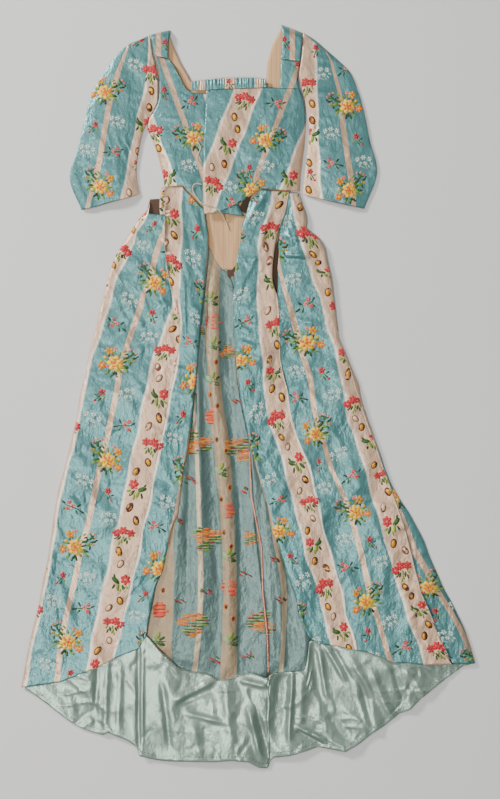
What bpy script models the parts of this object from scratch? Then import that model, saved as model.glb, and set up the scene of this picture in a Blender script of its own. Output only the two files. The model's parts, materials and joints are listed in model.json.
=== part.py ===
# Robe a la francaise laid out flat, front uppermost.
# Metres; origin at the bottom centre of the bounding box, +Z up, neck toward +Y.
# Every table below is in centimetres across (+X) and along (+Y) and in millimetres of rise.
import bpy
import bmesh
import math
import numpy as np

for old in list(bpy.data.objects):
    bpy.data.objects.remove(old, do_unlink=True)

# ---------------------------------------------------------------- driving sizes
CM = 0.01
MM = 0.001
SILK_WALL = 1.5          # mm, wall of every silk panel
LINEN_WALL = 1.4         # mm
PLY_GAP = 0.5            # mm of air between two plies sewn together
SEAM_GAP = 0.03          # cm between two pieces at a seam
EDGE_ROLL = 0.6          # cm over which a side fold comes down to the table
BACK_INSET = 0.45        # cm the back lies inside the side folds of the fronts
CORD_DIAMETER = 2.4      # mm
CENTRE_SHIFT = (0.0, -0.05)   # cm, brings the bounding box to the origin

# ---------------------------------------------------------------- materials
SLOT_COLOURS = {
    "silk_brocade": (0.33, 0.50, 0.50, 1.0),
    "silk_reverse": (0.40, 0.50, 0.47, 1.0),
    "facing_silk": (0.52, 0.62, 0.55, 1.0),
    "linen_lining": (0.68, 0.50, 0.36, 1.0),
    "cord_linen": (0.74, 0.66, 0.54, 1.0),
}


def material(name):
    m = bpy.data.materials.new(name)
    m.use_nodes = True
    b = m.node_tree.nodes["Principled BSDF"]
    b.inputs["Base Color"].default_value = SLOT_COLOURS[name]
    b.inputs["Roughness"].default_value = 0.6
    return m


# ---------------------------------------------------------------- panel tables
# Skirt front, left. Guides follow the woven stripes down the panel.
# row, then per guide (across cm, along cm, rise of the underside mm)
#   inner edge | lap | wide stripe | pleat fold | narrow stripe | side
SKIRT_FRONT_LEFT = (
    ("waist",     (-9.5, 40.5, 9.0), (-12.7, 44.5, 9.0), (-16.3, 45.9, 9.0), (-18.2, 45.8, 9.0), (-18.6, 40.3, 5.0), (-21.6, 40.3, 4.5)),
    ("pocket",    (-8.7, 34.6, 10.0), (-12.4, 35.2, 11.0), (-16.4, 34.9, 11.0), (-18.1, 34.6, 12.0), (-19.5, 33.9, 5.0), (-27.0, 34.6, 4.5)),
    ("hip",       (-9.4, 25.1, 10.0), (-12.7, 25.1, 12.0), (-16.1, 25.1, 11.0), (-17.5, 25.1, 12.0), (-22.0, 25.1, 5.5), (-31.1, 25.1, 4.5)),
    ("thigh",     (-10.5, 15.4, 10.0), (-13.5, 15.4, 11.0), (-16.6, 15.4, 10.0), (-18.5, 15.4, 10.0), (-25.2, 15.4, 6.0), (-33.5, 15.4, 4.5)),
    ("pleat_end", (-11.5, 4.9, 10.0), (-15.2, 4.9, 9.0), (-18.8, 4.9, 8.0), (-21.6, 4.9, 7.0), (-28.7, 4.9, 7.0), (-35.8, 4.9, 4.5)),
    ("knee_1",    (-12.5, -6.1, 9.0), (-16.7, -6.1, 8.0), (-20.9, -6.1, 7.0), (-24.0, -6.1, 7.0), (-30.5, -6.1, 7.0), (-38.1, -6.1, 4.5)),
    ("knee_2",    (-14.3, -17.1, 9.0), (-18.8, -17.1, 7.0), (-23.2, -17.1, 7.0), (-26.3, -17.1, 7.0), (-33.1, -17.1, 6.0), (-40.8, -17.1, 4.5)),
    ("shin_1",    (-16.5, -28.1, 9.0), (-21.1, -28.4, 7.0), (-25.7, -28.6, 6.0), (-28.8, -28.6, 6.0), (-35.3, -28.3, 6.0), (-43.0, -28.3, 4.5)),
    ("shin_2",    (-19.3, -38.5, 9.0), (-23.6, -38.8, 7.0), (-27.9, -39.1, 6.0), (-30.9, -39.3, 6.0), (-38.2, -39.6, 5.5), (-45.0, -39.8, 4.5)),
    ("ankle",     (-21.4, -46.4, 9.0), (-25.6, -47.2, 7.0), (-29.8, -47.9, 6.0), (-33.0, -48.6, 6.0), (-40.3, -49.9, 5.5), (-46.7, -49.0, 4.5)),
    ("hem",       (-22.5, -52.5, 8.0), (-25.6, -56.0, 7.0), (-32.4, -58.9, 6.0), (-35.1, -59.6, 5.5), (-42.1, -62.0, 5.0), (-49.9, -63.9, 4.5)),
)

# Skirt front, right.
#   inner edge | wide stripe | slit front | slit back | second wide stripe | its edge | side
SKIRT_FRONT_RIGHT = (
    ("waist",   (3.0, 45.4, 9.0), (5.9, 45.3, 9.0), (8.2, 45.1, 9.0), (8.8, 45.0, 7.0), (10.0, 44.9, 8.0), (11.0, 44.8, 7.0), (11.4, 44.8, 4.5)),
    ("slit",    (-0.6, 39.9, 10.0), (5.2, 39.9, 12.0), (7.2, 39.9, 12.0), (7.7, 39.9, 9.0), (11.0, 39.9, 12.0), (12.2, 39.9, 8.0), (12.8, 39.9, 4.5)),
    ("pinch",   (-1.4, 36.3, 10.0), (4.4, 36.3, 12.0), (6.3, 36.3, 12.0), (6.9, 36.3, 8.0), (11.2, 36.6, 9.0), (12.4, 36.8, 7.0), (13.0, 36.8, 4.5)),
    ("hip_1",   (-1.9, 32.8, 10.0), (4.1, 32.8, 12.0), (5.9, 32.8, 12.0), (6.6, 32.8, 7.0), (13.4, 32.8, 13.0), (15.8, 32.8, 9.0), (17.0, 32.8, 4.5)),
    ("hip_2",   (-3.0, 25.8, 10.0), (3.5, 25.8, 12.0), (5.2, 25.8, 12.0), (7.4, 25.8, 7.0), (14.4, 25.8, 13.0), (17.2, 25.8, 9.0), (18.4, 25.8, 4.5)),
    ("thigh_1", (-3.2, 15.2, 10.0), (4.5, 15.2, 11.0), (6.9, 15.2, 10.0), (10.2, 15.2, 8.0), (17.0, 15.2, 11.0), (18.9, 15.2, 8.0), (19.9, 15.2, 4.5)),
    ("thigh_2", (-2.7, 9.7, 10.0), (5.0, 9.7, 10.0), (7.2, 9.7, 9.0), (12.0, 9.7, 8.0), (18.6, 9.7, 10.0), (20.3, 9.7, 7.0), (21.5, 9.7, 4.5)),
    ("knee_1",  (-2.2, 2.7, 10.0), (5.9, 2.7, 9.0), (8.3, 2.7, 8.0), (14.3, 2.7, 8.0), (21.0, 2.7, 9.0), (23.2, 2.7, 7.0), (24.4, 2.7, 4.5)),
    ("knee_2",  (-0.0, -7.7, 9.0), (7.9, -7.7, 8.0), (10.2, -7.7, 7.0), (16.0, -7.7, 8.0), (23.8, -7.7, 9.0), (26.3, -7.7, 7.0), (27.5, -7.7, 4.5)),
    ("shin_1",  (2.7, -18.2, 9.0), (11.4, -18.2, 7.0), (14.3, -18.2, 7.0), (19.3, -18.2, 7.0), (27.0, -18.2, 9.0), (29.8, -18.2, 8.0), (31.2, -18.2, 4.5)),
    ("shin_2",  (5.4, -29.2, 9.0), (13.9, -28.8, 7.0), (16.5, -28.8, 6.0), (23.6, -28.6, 7.0), (31.8, -28.7, 8.0), (34.4, -28.7, 9.0), (37.2, -28.7, 4.5)),
    ("ankle_1", (8.7, -38.5, 9.0), (16.7, -38.7, 7.0), (19.4, -38.7, 6.0), (26.4, -38.9, 6.0), (34.5, -39.1, 8.0), (36.9, -39.2, 9.0), (41.7, -39.1, 4.5)),
    ("ankle_2", (10.9, -47.3, 9.0), (18.9, -47.3, 7.0), (21.5, -47.3, 6.0), (28.3, -47.3, 6.0), (37.1, -47.3, 7.0), (40.0, -47.3, 8.0), (46.0, -47.3, 4.5)),
    ("hem",     (13.4, -52.6, 8.0), (20.9, -54.7, 6.5), (23.8, -55.6, 6.0), (31.3, -57.9, 5.5), (41.8, -58.8, 5.0), (44.7, -58.8, 5.0), (49.9, -58.5, 4.5)),
)

# Skirt back, left width.
#   side | c1 | c2 | c3 | pale ridge | valley 1 | stripe ridge | valley 2 | seam
SKIRT_BACK_LEFT = (
    ("waist", (-20.1, 43.0, 0), (-19.8, 43.4, 0), (-19.6, 43.9, 0), (-18.1, 45.0, 0), (-11.9, 39.3, 0), (-8.9, 34.0, 0), (-7.1, 30.3, 0), (-5.5, 28.0, 0), (-4.2, 27.3, 0)),
    ("hip",   (-31.6, 21.4, 0), (-28.4, 21.4, 0), (-24.9, 21.4, 0), (-18.3, 21.4, 0), (-11.9, 21.4, 0), (-10.2, 21.4, 0), (-8.0, 21.4, 5), (-5.5, 21.4, 0), (-2.7, 21.4, 3)),
    ("thigh", (-35.5, 3.8, 0), (-32.2, 3.8, 0), (-28.2, 3.8, 0), (-20.5, 3.8, 0), (-12.1, 3.8, 0), (-9.6, 3.8, 0), (-7.5, 3.8, 6), (-5.3, 3.8, 0), (-2.2, 3.8, 4)),
    ("knee",  (-38.9, -11.6, 0), (-35.0, -11.6, 0), (-30.8, -11.6, 0), (-22.0, -11.6, 0), (-11.3, -11.6, 3), (-8.4, -11.6, 0), (-6.0, -11.6, 8), (-2.9, -11.6, 0), (0.4, -11.6, 4)),
    ("calf",  (-42.1, -27.0, 0), (-37.7, -27.0, 0), (-33.0, -27.0, 0), (-23.1, -27.0, 0), (-10.7, -27.0, 5), (-6.7, -27.0, 0), (-4.8, -27.0, 8), (-2.2, -27.0, 0), (1.5, -27.0, 4)),
    ("shin",  (-44.9, -42.4, 0), (-39.6, -42.4, 0), (-34.1, -42.4, 0), (-23.8, -42.4, 0), (-10.4, -42.4, 5), (-6.2, -42.4, 0), (-4.2, -42.4, 7), (-1.4, -42.4, 0), (3.3, -42.4, 4)),
    ("ankle", (-47.0, -53.4, 0), (-40.1, -54.1, 0), (-32.4, -54.5, 0), (-23.8, -54.5, 0), (-11.0, -53.4, 4), (-6.6, -53.4, 0), (-4.2, -53.4, 6), (-1.6, -53.4, 0), (4.4, -53.4, 3)),
    ("train", (-49.0, -62.0, 0), (-40.1, -64.4, 0), (-31.3, -65.7, 0), (-23.4, -66.6, 0), (-12.8, -66.6, 2), (-7.5, -66.6, 0), (-4.2, -66.6, 3), (-1.4, -66.6, 0), (4.4, -66.6, 2)),
    ("hem",   (-49.5, -64.6, 0), (-39.3, -71.1, 0), (-31.5, -74.3, 0), (-23.8, -77.8, 0), (-15.0, -79.9, 0), (-8.0, -80.1, 0), (-4.0, -80.1, 0), (-0.9, -80.3, 0), (4.5, -81.8, 0)),
)

# Skirt back, right width.
#   seam | ridge | deep valley | ridge | d1 | d2 | side
SKIRT_BACK_RIGHT = (
    ("waist", (-4.17, 27.3, 0), (-2.5, 29.4, 0), (-0.3, 33.8, 0), (1.7, 37.2, 0), (5.2, 41.2, 0), (8.6, 43.5, 0), (9.9, 44.1, 0)),
    ("hip",   (-2.67, 21.4, 3), (-0.3, 21.4, 2), (2.2, 21.4, 0), (4.4, 21.4, 0), (8.8, 21.4, 0), (13.2, 21.4, 0), (17.0, 21.4, 0)),
    ("thigh", (-2.17, 3.8, 4), (0.8, 3.8, 2), (3.5, 3.8, 0), (5.9, 3.8, 0), (11.4, 3.8, 0), (18.2, 3.8, 0), (23.0, 3.8, 0)),
    ("knee",  (0.43, -11.6, 4), (3.0, -11.6, 2), (5.2, -11.6, 0), (8.1, -11.6, 0), (14.0, -11.6, 0), (21.7, -11.6, 0), (28.0, -11.6, 0)),
    ("calf",  (1.53, -27.0, 4), (4.4, -27.0, 5), (7.2, -27.0, 0), (10.5, -27.0, 0), (16.9, -27.0, 0), (27.2, -27.0, 0), (35.4, -27.0, 0)),
    ("shin",  (3.33, -42.4, 4), (6.9, -42.4, 6), (9.9, -42.4, 0), (12.5, -42.4, 2), (20.2, -42.4, 0), (32.3, -42.4, 0), (42.5, -42.4, 0)),
    ("ankle", (4.43, -53.4, 3), (7.0, -53.4, 6), (9.3, -53.4, 0), (11.6, -53.4, 3), (21.3, -54.5, 0), (35.2, -55.6, 0), (47.5, -53.9, 0)),
    ("train", (4.43, -66.6, 2), (5.9, -66.6, 4), (8.7, -66.6, 0), (12.7, -66.2, 3), (21.3, -66.6, 0), (31.9, -63.5, 0), (48.8, -56.9, 0)),
    ("hem",   (4.53, -79.2, 0), (6.1, -79.0, 0), (8.5, -78.8, 0), (12.5, -77.9, 0), (21.5, -77.8, 0), (33.4, -69.5, 0), (49.2, -58.9, 0)),
)

# Upper edge of the hem facing: rows of the back panel, counted from its waist, per guide
FACING_TOP_LEFT = (7.15, 6.9, 6.4, 5.95, 6.5, 6.58, 6.65, 6.6, 6.55)
FACING_TOP_RIGHT = (6.55, 6.6, 6.5, 6.5, 6.55, 6.6, 7.1)

# Bodice front, left: side to closing edge (across cm, along cm, rise mm)
BODICE_FRONT_LEFT = (
    ("strap",  (-20.4, 74.9, 8), (-19.6, 74.7, 8), (-18.9, 74.55, 8), (-18.2, 74.4, 8), (-17.5, 74.2, 8)),
    ("neck_1", (-19.7, 72.7, 8), (-18.7, 72.7, 8), (-17.9, 72.7, 8), (-17.1, 72.7, 8), (-16.3, 72.7, 8)),
    ("neck_2", (-19.4, 69.9, 8), (-18.1, 69.9, 9), (-17.0, 69.9, 9), (-15.9, 69.9, 9), (-14.8, 69.9, 8)),
    ("neck_3", (-19.4, 67.1, 8), (-17.6, 67.1, 10), (-15.9, 67.1, 10), (-14.3, 67.1, 9), (-12.9, 67.1, 8)),
    ("bust_1", (-19.9, 64.3, 8), (-16.9, 64.9, 12), (-13.9, 65.5, 12), (-10.9, 65.9, 9), (-8.2, 66.2, 8)),
    ("bust_2", (-22.2, 59.6, 4.5), (-18.3, 60.2, 12), (-14.5, 60.7, 12), (-10.9, 60.9, 9), (-8.0, 61.0, 9)),
    ("ribs_1", (-20.9, 56.2, 4.5), (-17.3, 56.5, 12), (-13.8, 56.4, 12), (-10.6, 56.2, 9), (-7.6, 56.1, 9)),
    ("ribs_2", (-19.7, 52.6, 4.5), (-16.5, 52.3, 11), (-13.3, 51.9, 11), (-10.4, 51.4, 9), (-6.5, 51.1, 8)),
    ("ribs_3", (-18.7, 48.3, 4.5), (-16.0, 48.4, 9), (-13.1, 47.6, 9), (-10.4, 46.2, 8), (-4.0, 46.0, 8)),
    ("waist",  (-18.4, 46.2, 4.5), (-14.3, 46.5, 8), (-12.0, 44.5, 8), (-9.3, 40.9, 8), (-0.9, 39.7, 8)),
)

# Bodice front, right: closing edge to side
BODICE_FRONT_RIGHT = (
    ("bust_1", (-9.2, 67.2, 13), (-5.0, 67.5, 13), (-0.6, 67.6, 12), (4.4, 67.9, 10), (7.0, 67.8, 8), (11.2, 67.8, 8)),
    ("bust_2", (-9.3, 64.0, 13), (-4.8, 64.2, 14), (0.2, 64.4, 14), (5.2, 64.6, 13), (8.9, 64.7, 10), (12.2, 64.8, 8)),
    ("pit",    (-9.5, 59.9, 13), (-4.8, 60.0, 14), (0.4, 60.0, 14), (5.2, 60.0, 14), (9.2, 60.0, 10), (12.6, 60.0, 4.5)),
    ("ribs_1", (-9.7, 56.1, 13), (-4.8, 56.4, 14), (0.2, 56.5, 14), (4.8, 56.6, 13), (8.8, 56.7, 9), (12.5, 56.8, 4.5)),
    ("ribs_2", (-9.8, 51.1, 13), (-5.0, 51.5, 13), (0.0, 51.8, 13), (4.5, 52.0, 12), (8.4, 52.1, 9), (12.0, 52.2, 4.5)),
    ("ribs_3", (-9.9, 45.1, 13), (-5.2, 46.1, 13), (-0.6, 47.1, 13), (4.0, 47.7, 11), (7.8, 47.8, 9), (11.5, 47.8, 4.5)),
    ("waist",  (-9.7, 40.1, 13), (-5.8, 40.8, 13), (-1.8, 42.5, 13), (3.0, 45.9, 11), (6.5, 45.5, 9), (11.4, 45.2, 4.5)),
)
# its tab up to the strap joint: neck edge to armhole edge
BODICE_TAB_RIGHT = (
    ("strap",  (7.2, 74.2, 8), (8.7, 74.0, 8), (10.2, 73.8, 8), (11.4, 73.5, 8)),
    ("neck_1", (7.1, 71.1, 8), (8.5, 71.0, 9), (9.9, 70.9, 9), (10.9, 70.7, 8)),
    ("neck_2", (7.0, 67.83, 8), (8.4, 67.83, 8), (9.8, 67.83, 8), (11.2, 67.83, 8)),
)

# Shoulder straps: neck edge to armhole edge, joint up to the shoulder fold
STRAP_LEFT = (
    ("joint",    (-17.5, 74.3, 8), (-18.9, 74.6, 8), (-20.4, 75.0, 8)),
    ("middle",   (-17.5, 77.9, 9), (-19.0, 77.8, 9), (-20.9, 77.0, 9)),
    ("shoulder", (-17.2, 80.2, 5), (-19.2, 79.8, 5), (-21.3, 79.2, 5)),
    ("fold",     (-17.2, 80.7, 0), (-19.2, 80.3, 0), (-21.4, 79.7, 0)),
)
STRAP_RIGHT = (
    ("joint",    (7.2, 74.3, 8), (9.3, 74.0, 8), (11.4, 73.6, 8)),
    ("middle",   (7.5, 78.0, 9), (9.5, 77.4, 9), (11.7, 76.8, 9)),
    ("shoulder", (7.4, 81.4, 5), (9.6, 80.6, 5), (11.9, 79.6, 5)),
    ("fold",     (7.3, 81.9, 0), (9.6, 81.1, 0), (12.0, 80.1, 0)),
)

# Bodice back above the waist: left armhole edge | left neck | right neck | right armhole edge
BODICE_BACK_TOP = (
    ("shoulder", (-21.0, 78.8), (-17.3, 79.7), (7.2, 81.0), (11.7, 79.3)),
    ("strap_1",  (-20.7, 76.5), (-16.4, 77.0), (5.3, 77.3), (11.5, 76.5)),
    ("strap_2",  (-20.2, 73.5), (-14.9, 73.5), (4.2, 73.5), (11.1, 73.5)),
    ("strap_3",  (-19.5, 70.5), (-13.1, 70.5), (4.0, 70.5), (10.6, 70.5)),
)
BODICE_BACK_BODY = (
    ("neck",  (-19.3, 68.0), (-12.0, 68.2), (3.6, 68.2), (10.7, 68.0)),
    ("arm_1", (-19.4, 65.5), (-12.0, 65.5), (3.6, 65.5), (11.6, 65.5)),
    ("arm_2", (-19.9, 62.4), (-12.0, 62.4), (3.6, 62.4), (11.6, 62.4)),
    ("pit",   (-19.9, 59.6), (-12.0, 59.6), (3.6, 59.6), (11.0, 59.6)),
    ("side",  (-18.5, 54.4), (-12.0, 54.4), (3.6, 54.4), (10.6, 54.4)),
    ("waist", (-16.4, 45.9), (-12.0, 45.9), (3.2, 45.7), (9.2, 45.6)),
)

# Sleeves, laid flat: outer fold | quarter | middle | three quarters | inner fold, loft of the upper ply mm
SLEEVE_LEFT = (
    ("armhole", (-21.6, 79.6), (-21.0, 75.5), (-19.8, 70.0), (-19.8, 65.0), (-22.5, 59.6), 11),
    ("cap_1",   (-24.0, 78.5), (-23.2, 74.2), (-22.0, 69.2), (-21.8, 64.0), (-23.0, 58.6), 12),
    ("cap_2",   (-26.5, 77.4), (-25.6, 72.4), (-24.5, 67.5), (-23.7, 62.4), (-23.4, 57.2), 13),
    ("cap_3",   (-29.7, 74.2), (-28.2, 69.5), (-26.7, 64.9), (-25.2, 60.2), (-23.8, 55.5), 13),
    ("upper_1", (-32.4, 70.4), (-30.3, 66.2), (-28.2, 62.1), (-26.2, 57.9), (-24.1, 53.7), 13),
    ("upper_2", (-34.6, 66.3), (-32.0, 62.7), (-29.5, 59.1), (-26.9, 55.5), (-24.4, 51.9), 13),
    ("upper_3", (-36.0, 60.8), (-33.1, 58.0), (-30.3, 55.3), (-27.4, 52.5), (-24.6, 49.8), 12),
    ("elbow_1", (-37.4, 55.0), (-34.2, 53.2), (-31.0, 51.4), (-27.7, 49.6), (-24.5, 47.8), 12),
    ("elbow_2", (-39.2, 48.4), (-35.5, 47.9), (-31.8, 47.4), (-28.0, 46.9), (-24.3, 46.4), 12),
    ("cuff",    (-36.6, 41.1), (-33.4, 41.8), (-30.2, 42.8), (-27.0, 43.6), (-23.9, 44.6), 11),
)
SLEEVE_RIGHT = (
    ("armhole", (12.1, 80.1), (11.9, 75.5), (11.2, 70.4), (12.5, 65.3), (13.2, 59.7), 11),
    ("cap_1",   (14.6, 78.5), (14.2, 73.6), (13.6, 69.0), (13.8, 64.0), (13.3, 58.6), 12),
    ("cap_2",   (16.9, 76.5), (16.0, 71.7), (15.1, 66.9), (14.4, 62.1), (13.3, 57.2), 13),
    ("cap_3",   (19.3, 74.4), (17.8, 69.8), (16.3, 65.2), (14.7, 60.5), (13.2, 55.9), 13),
    ("upper_1", (22.2, 71.5), (19.9, 67.2), (17.6, 63.0), (15.4, 58.7), (13.1, 54.5), 13),
    ("upper_2", (24.2, 66.9), (21.4, 63.3), (18.5, 59.7), (15.7, 56.2), (12.9, 52.6), 13),
    ("upper_3", (25.7, 61.6), (22.4, 58.9), (19.2, 56.2), (15.9, 53.6), (12.7, 50.9), 12),
    ("elbow_1", (26.7, 56.4), (23.1, 54.5), (19.6, 52.6), (16.0, 50.8), (12.5, 48.9), 12),
    ("elbow_2", (28.3, 49.8), (24.3, 49.1), (20.3, 48.4), (16.3, 47.6), (12.3, 46.9), 12),
    ("cuff",    (25.5, 41.4), (22.0, 42.1), (18.6, 42.9), (15.3, 43.7), (12.0, 44.6), 11),
)

# Neck casing: upper edge | lower edge, rise mm
NECK_CASING = (
    ("left_end",  (-12.2, 69.3), (-12.6, 67.3), 9.0),
    ("left",      (-9.0, 69.6), (-9.3, 67.35), 10.0),
    ("centre_l",  (-5.5, 69.9), (-5.0, 67.6), 11.0),
    ("centre_r",  (0.4, 70.0), (-0.4, 67.7), 11.0),
    ("right_end", (3.8, 69.7), (4.2, 68.0), 9.5),
)

# Cords: (across cm, along cm, height of the axis mm)
CLOSING_CORD = (
    (-9.95, 56.9, 14.5), (-10.9, 56.8, 15.5), (-11.2, 56.2, 15.6), (-10.6, 55.3, 15.5),
    (-10.3, 54.6, 15.4), (-10.9, 53.3, 15.3), (-11.2, 52.2, 15.2), (-10.6, 51.3, 15.0), (-10.05, 50.4, 14.0),
)
WAIST_TIE = (
    (-10.2, 46.6, 12.2), (-10.9, 46.9, 12.2), (-11.7, 46.8, 12.2), (-12.2, 46.2, 12.0), (-12.2, 45.5, 11.8),
    (-11.7, 44.4, 11.6), (-10.8, 43.2, 11.8), (-10.3, 42.6, 13.8), (-9.9, 42.3, 16.4), (-9.2, 42.0, 17.0),
    (-7.7, 41.8, 17.2), (-6.6, 41.2, 17.2), (-6.05, 40.6, 16.6), (-5.7, 40.1, 13.0), (-5.4, 39.6, 11.4), (-5.2, 39.2, 9.0), (-5.0, 38.7, 5.6),
    (-4.6, 37.9, 5.0), (-4.3, 36.8, 5.0),
)


# ---------------------------------------------------------------- cloth surfaces
def hermite(knots, values, at):
    """Smooth curve through values at knots (non-uniform three-point tangents)."""
    knots = np.asarray(knots, float)
    values = np.asarray(values, float)
    n = len(knots)
    slope = np.zeros_like(values)
    for i in range(n):
        if i == 0:
            slope[i] = (values[1] - values[0]) / (knots[1] - knots[0])
        elif i == n - 1:
            slope[i] = (values[-1] - values[-2]) / (knots[-1] - knots[-2])
        else:
            left, right = knots[i] - knots[i - 1], knots[i + 1] - knots[i]
            slope[i] = ((values[i] - values[i - 1]) / left * right
                        + (values[i + 1] - values[i]) / right * left) / (left + right)
    result = []
    for t in at:
        i = min(max(int(np.searchsorted(knots, t, side="right")) - 1, 0), n - 2)
        h = knots[i + 1] - knots[i]
        s = (t - knots[i]) / h
        result.append((2 * s**3 - 3 * s**2 + 1) * values[i] + (s**3 - 2 * s**2 + s) * h * slope[i]
                      + (-2 * s**3 + 3 * s**2) * values[i + 1] + (s**3 - s**2) * h * slope[i + 1])
    return np.array(result)


def table_array(table):
    return np.array([[list(p) for p in row[1:]] for row in table], float)


def lattice(table, down, across, starts=None):
    """Grid of (x, y, rise): `down` steps per pair of rows, `across` steps per pair of guides."""
    rows = table_array(table)
    n, g = rows.shape[:2]
    chord = np.linalg.norm(np.diff(rows[:, :, :2], axis=0), axis=2).mean(axis=1)
    knots = np.concatenate(([0.0], np.cumsum(chord)))
    steps = []
    for i in range(n - 1):
        steps += [i + k / down[i] for k in range(down[i])]
    steps.append(n - 1.0)
    columns = []
    for j in range(g):
        own = list(steps)
        if starts is not None:
            last = [s for s in steps if s > max(starts) + 0.05]
            own = [starts[j] + (last[0] - starts[j]) * k / 2 for k in range(2)] + last
        at = [np.interp(s, range(n), knots) for s in own]
        columns.append(hermite(knots, rows[:, j], at))
    columns = np.array(columns).transpose(1, 0, 2)
    grid = []
    for j in range(g - 1):
        for k in range(across[j]):
            f = k / across[j]
            grid.append(columns[:, j] * (1 - f) + columns[:, j + 1] * f)
    grid.append(columns[:, -1])
    grid = np.array(grid).transpose(1, 0, 2)
    grid[:, :, 2] = np.maximum(grid[:, :, 2], 0.0)
    return grid


def inset(grid, column, way):
    grid[:, column, 0] += way * BACK_INSET
    return grid


def rolled(grid, sides):
    """Bring the outer column down to the table over the roll width."""
    result = [grid]
    for side in sides:
        grid = result[0]
        edge, inner = (grid[:, -1], grid[:, -2]) if side == "last" else (grid[:, 0], grid[:, 1])
        way = inner[:, :2] - edge[:, :2]
        span = np.linalg.norm(way, axis=1)
        f = np.minimum(EDGE_ROLL / np.maximum(span, 1e-6), 0.8)
        roll = edge.copy()
        roll[:, :2] = edge[:, :2] + way * f[:, None]
        down = edge.copy()
        down[:, 2] = 0.0
        if side == "last":
            grid = np.concatenate([grid[:, :-1], roll[:, None], down[:, None]], axis=1)
        else:
            grid = np.concatenate([down[:, None], roll[:, None], grid[:, 1:]], axis=1)
        result[0] = grid
    return result[0]


def to_world(point, rise):
    return ((point[0] + CENTRE_SHIFT[0]) * CM, (point[1] + CENTRE_SHIFT[1]) * CM, rise * MM)


def wall(name, slot, grid, thickness, lift=0.0, keep=None):
    """Closed cloth wall on a grid: underside at the rise, top one thickness above."""
    rows, cols = grid.shape[:2]
    if keep is None:
        keep = np.ones((rows - 1, cols - 1), bool)
    mesh = bmesh.new()
    low, high = {}, {}

    def corner(store, r, c, extra):
        if (r, c) not in store:
            p = grid[r, c]
            store[(r, c)] = mesh.verts.new(to_world(p, p[2] + lift + extra))
        return store[(r, c)]

    def face(*verts):
        unique = []
        for v in verts:
            if v not in unique:
                unique.append(v)
        mesh.faces.new(unique)

    for r in range(rows - 1):
        for c in range(cols - 1):
            if not keep[r, c]:
                continue
            a, b, d, e = (r, c), (r, c + 1), (r + 1, c + 1), (r + 1, c)
            top = [corner(high, *q, thickness) for q in (a, b, d, e)]
            bottom = [corner(low, *q, 0.0) for q in (a, b, d, e)]
            face(top[0], top[1], top[2])
            face(top[0], top[2], top[3])
            face(bottom[0], bottom[2], bottom[1])
            face(bottom[0], bottom[3], bottom[2])
    inside = lambda r, c: 0 <= r < rows - 1 and 0 <= c < cols - 1 and keep[r, c]
    for r in range(rows - 1):
        for c in range(cols - 1):
            if not keep[r, c]:
                continue
            edges = []
            if not inside(r - 1, c):
                edges.append(((r, c), (r, c + 1)))
            if not inside(r + 1, c):
                edges.append(((r + 1, c + 1), (r + 1, c)))
            if not inside(r, c - 1):
                edges.append(((r + 1, c), (r, c)))
            if not inside(r, c + 1):
                edges.append(((r, c + 1), (r + 1, c + 1)))
            for p, q in edges:
                face(high[q], high[p], low[p], low[q])
    bmesh.ops.recalc_face_normals(mesh, faces=mesh.faces)
    data = bpy.data.meshes.new(name)
    mesh.to_mesh(data)
    mesh.free()
    body = bpy.data.objects.new(name, data)
    bpy.context.scene.collection.objects.link(body)
    data.materials.append(material(slot))
    return body


def sleeve(name, table, across_shares, thickness):
    """Flattened tube, open at armhole and cuff."""
    stations = []
    for i, row in enumerate(table):
        stations.append((np.array(row[1:6], float), float(row[6])))
        if i < len(table) - 1:
            nxt = table[i + 1]
            stations.append(((np.array(row[1:6], float) + np.array(nxt[1:6], float)) / 2,
                             (row[6] + nxt[6]) / 2.0))
    fold = 2 * thickness + 0.8
    rings = []
    for points, loft in stations:
        width = np.linalg.norm(points[-1] - points[0])
        place = lambda s: np.array([np.interp(s * 4, range(5), points[:, 0]), np.interp(s * 4, range(5), points[:, 1])])
        tuck = thickness * 0.1 / width
        outer, inner = [], []
        for s in across_shares:                       # upper ply, outer fold to inner fold
            z = fold + (loft - fold) * math.sin(math.pi * s) ** 0.7 if 0 < s < 1 else fold
            t = tuck + s * (1 - 2 * tuck)
            outer.append((*place(s), z))
            inner.append((*place(t), z - thickness))
        for s in (1.0, 0.66, 0.33, 0.0):              # lower ply, back to the outer fold
            t = tuck + s * (1 - 2 * tuck)
            outer.append((*place(s), 0.0))
            inner.append((*place(t), thickness))
        rings.append((outer, inner))
    mesh = bmesh.new()
    made = [([mesh.verts.new(to_world(p, p[2])) for p in o], [mesh.verts.new(to_world(p, p[2])) for p in i])
            for o, i in rings]
    n = len(made[0][0])
    for layer in (0, 1):
        for a, b in zip(made[:-1], made[1:]):
            for k in range(n):
                m = (k + 1) % n
                mesh.faces.new((a[layer][k], a[layer][m], b[layer][m]))
                mesh.faces.new((a[layer][k], b[layer][m], b[layer][k]))
    for end in (made[0], made[-1]):
        for k in range(n):
            m = (k + 1) % n
            mesh.faces.new((end[0][k], end[0][m], end[1][m], end[1][k]))
    bmesh.ops.recalc_face_normals(mesh, faces=mesh.faces)
    data = bpy.data.meshes.new(name)
    mesh.to_mesh(data)
    mesh.free()
    body = bpy.data.objects.new(name, data)
    bpy.context.scene.collection.objects.link(body)
    data.materials.append(material("silk_brocade"))
    return body


def cord(name, points):
    curve = bpy.data.curves.new(name, "CURVE")
    curve.dimensions = "3D"
    curve.bevel_depth = CORD_DIAMETER / 2 * MM
    curve.bevel_resolution = 2
    curve.use_fill_caps = True
    spline = curve.splines.new("POLY")
    spline.points.add(len(points) - 1)
    for target, p in zip(spline.points, points):
        target.co = (*to_world(p, p[2]), 1.0)
    body = bpy.data.objects.new(name, curve)
    bpy.context.scene.collection.objects.link(body)
    curve.materials.append(material("cord_linen"))
    return body


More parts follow.
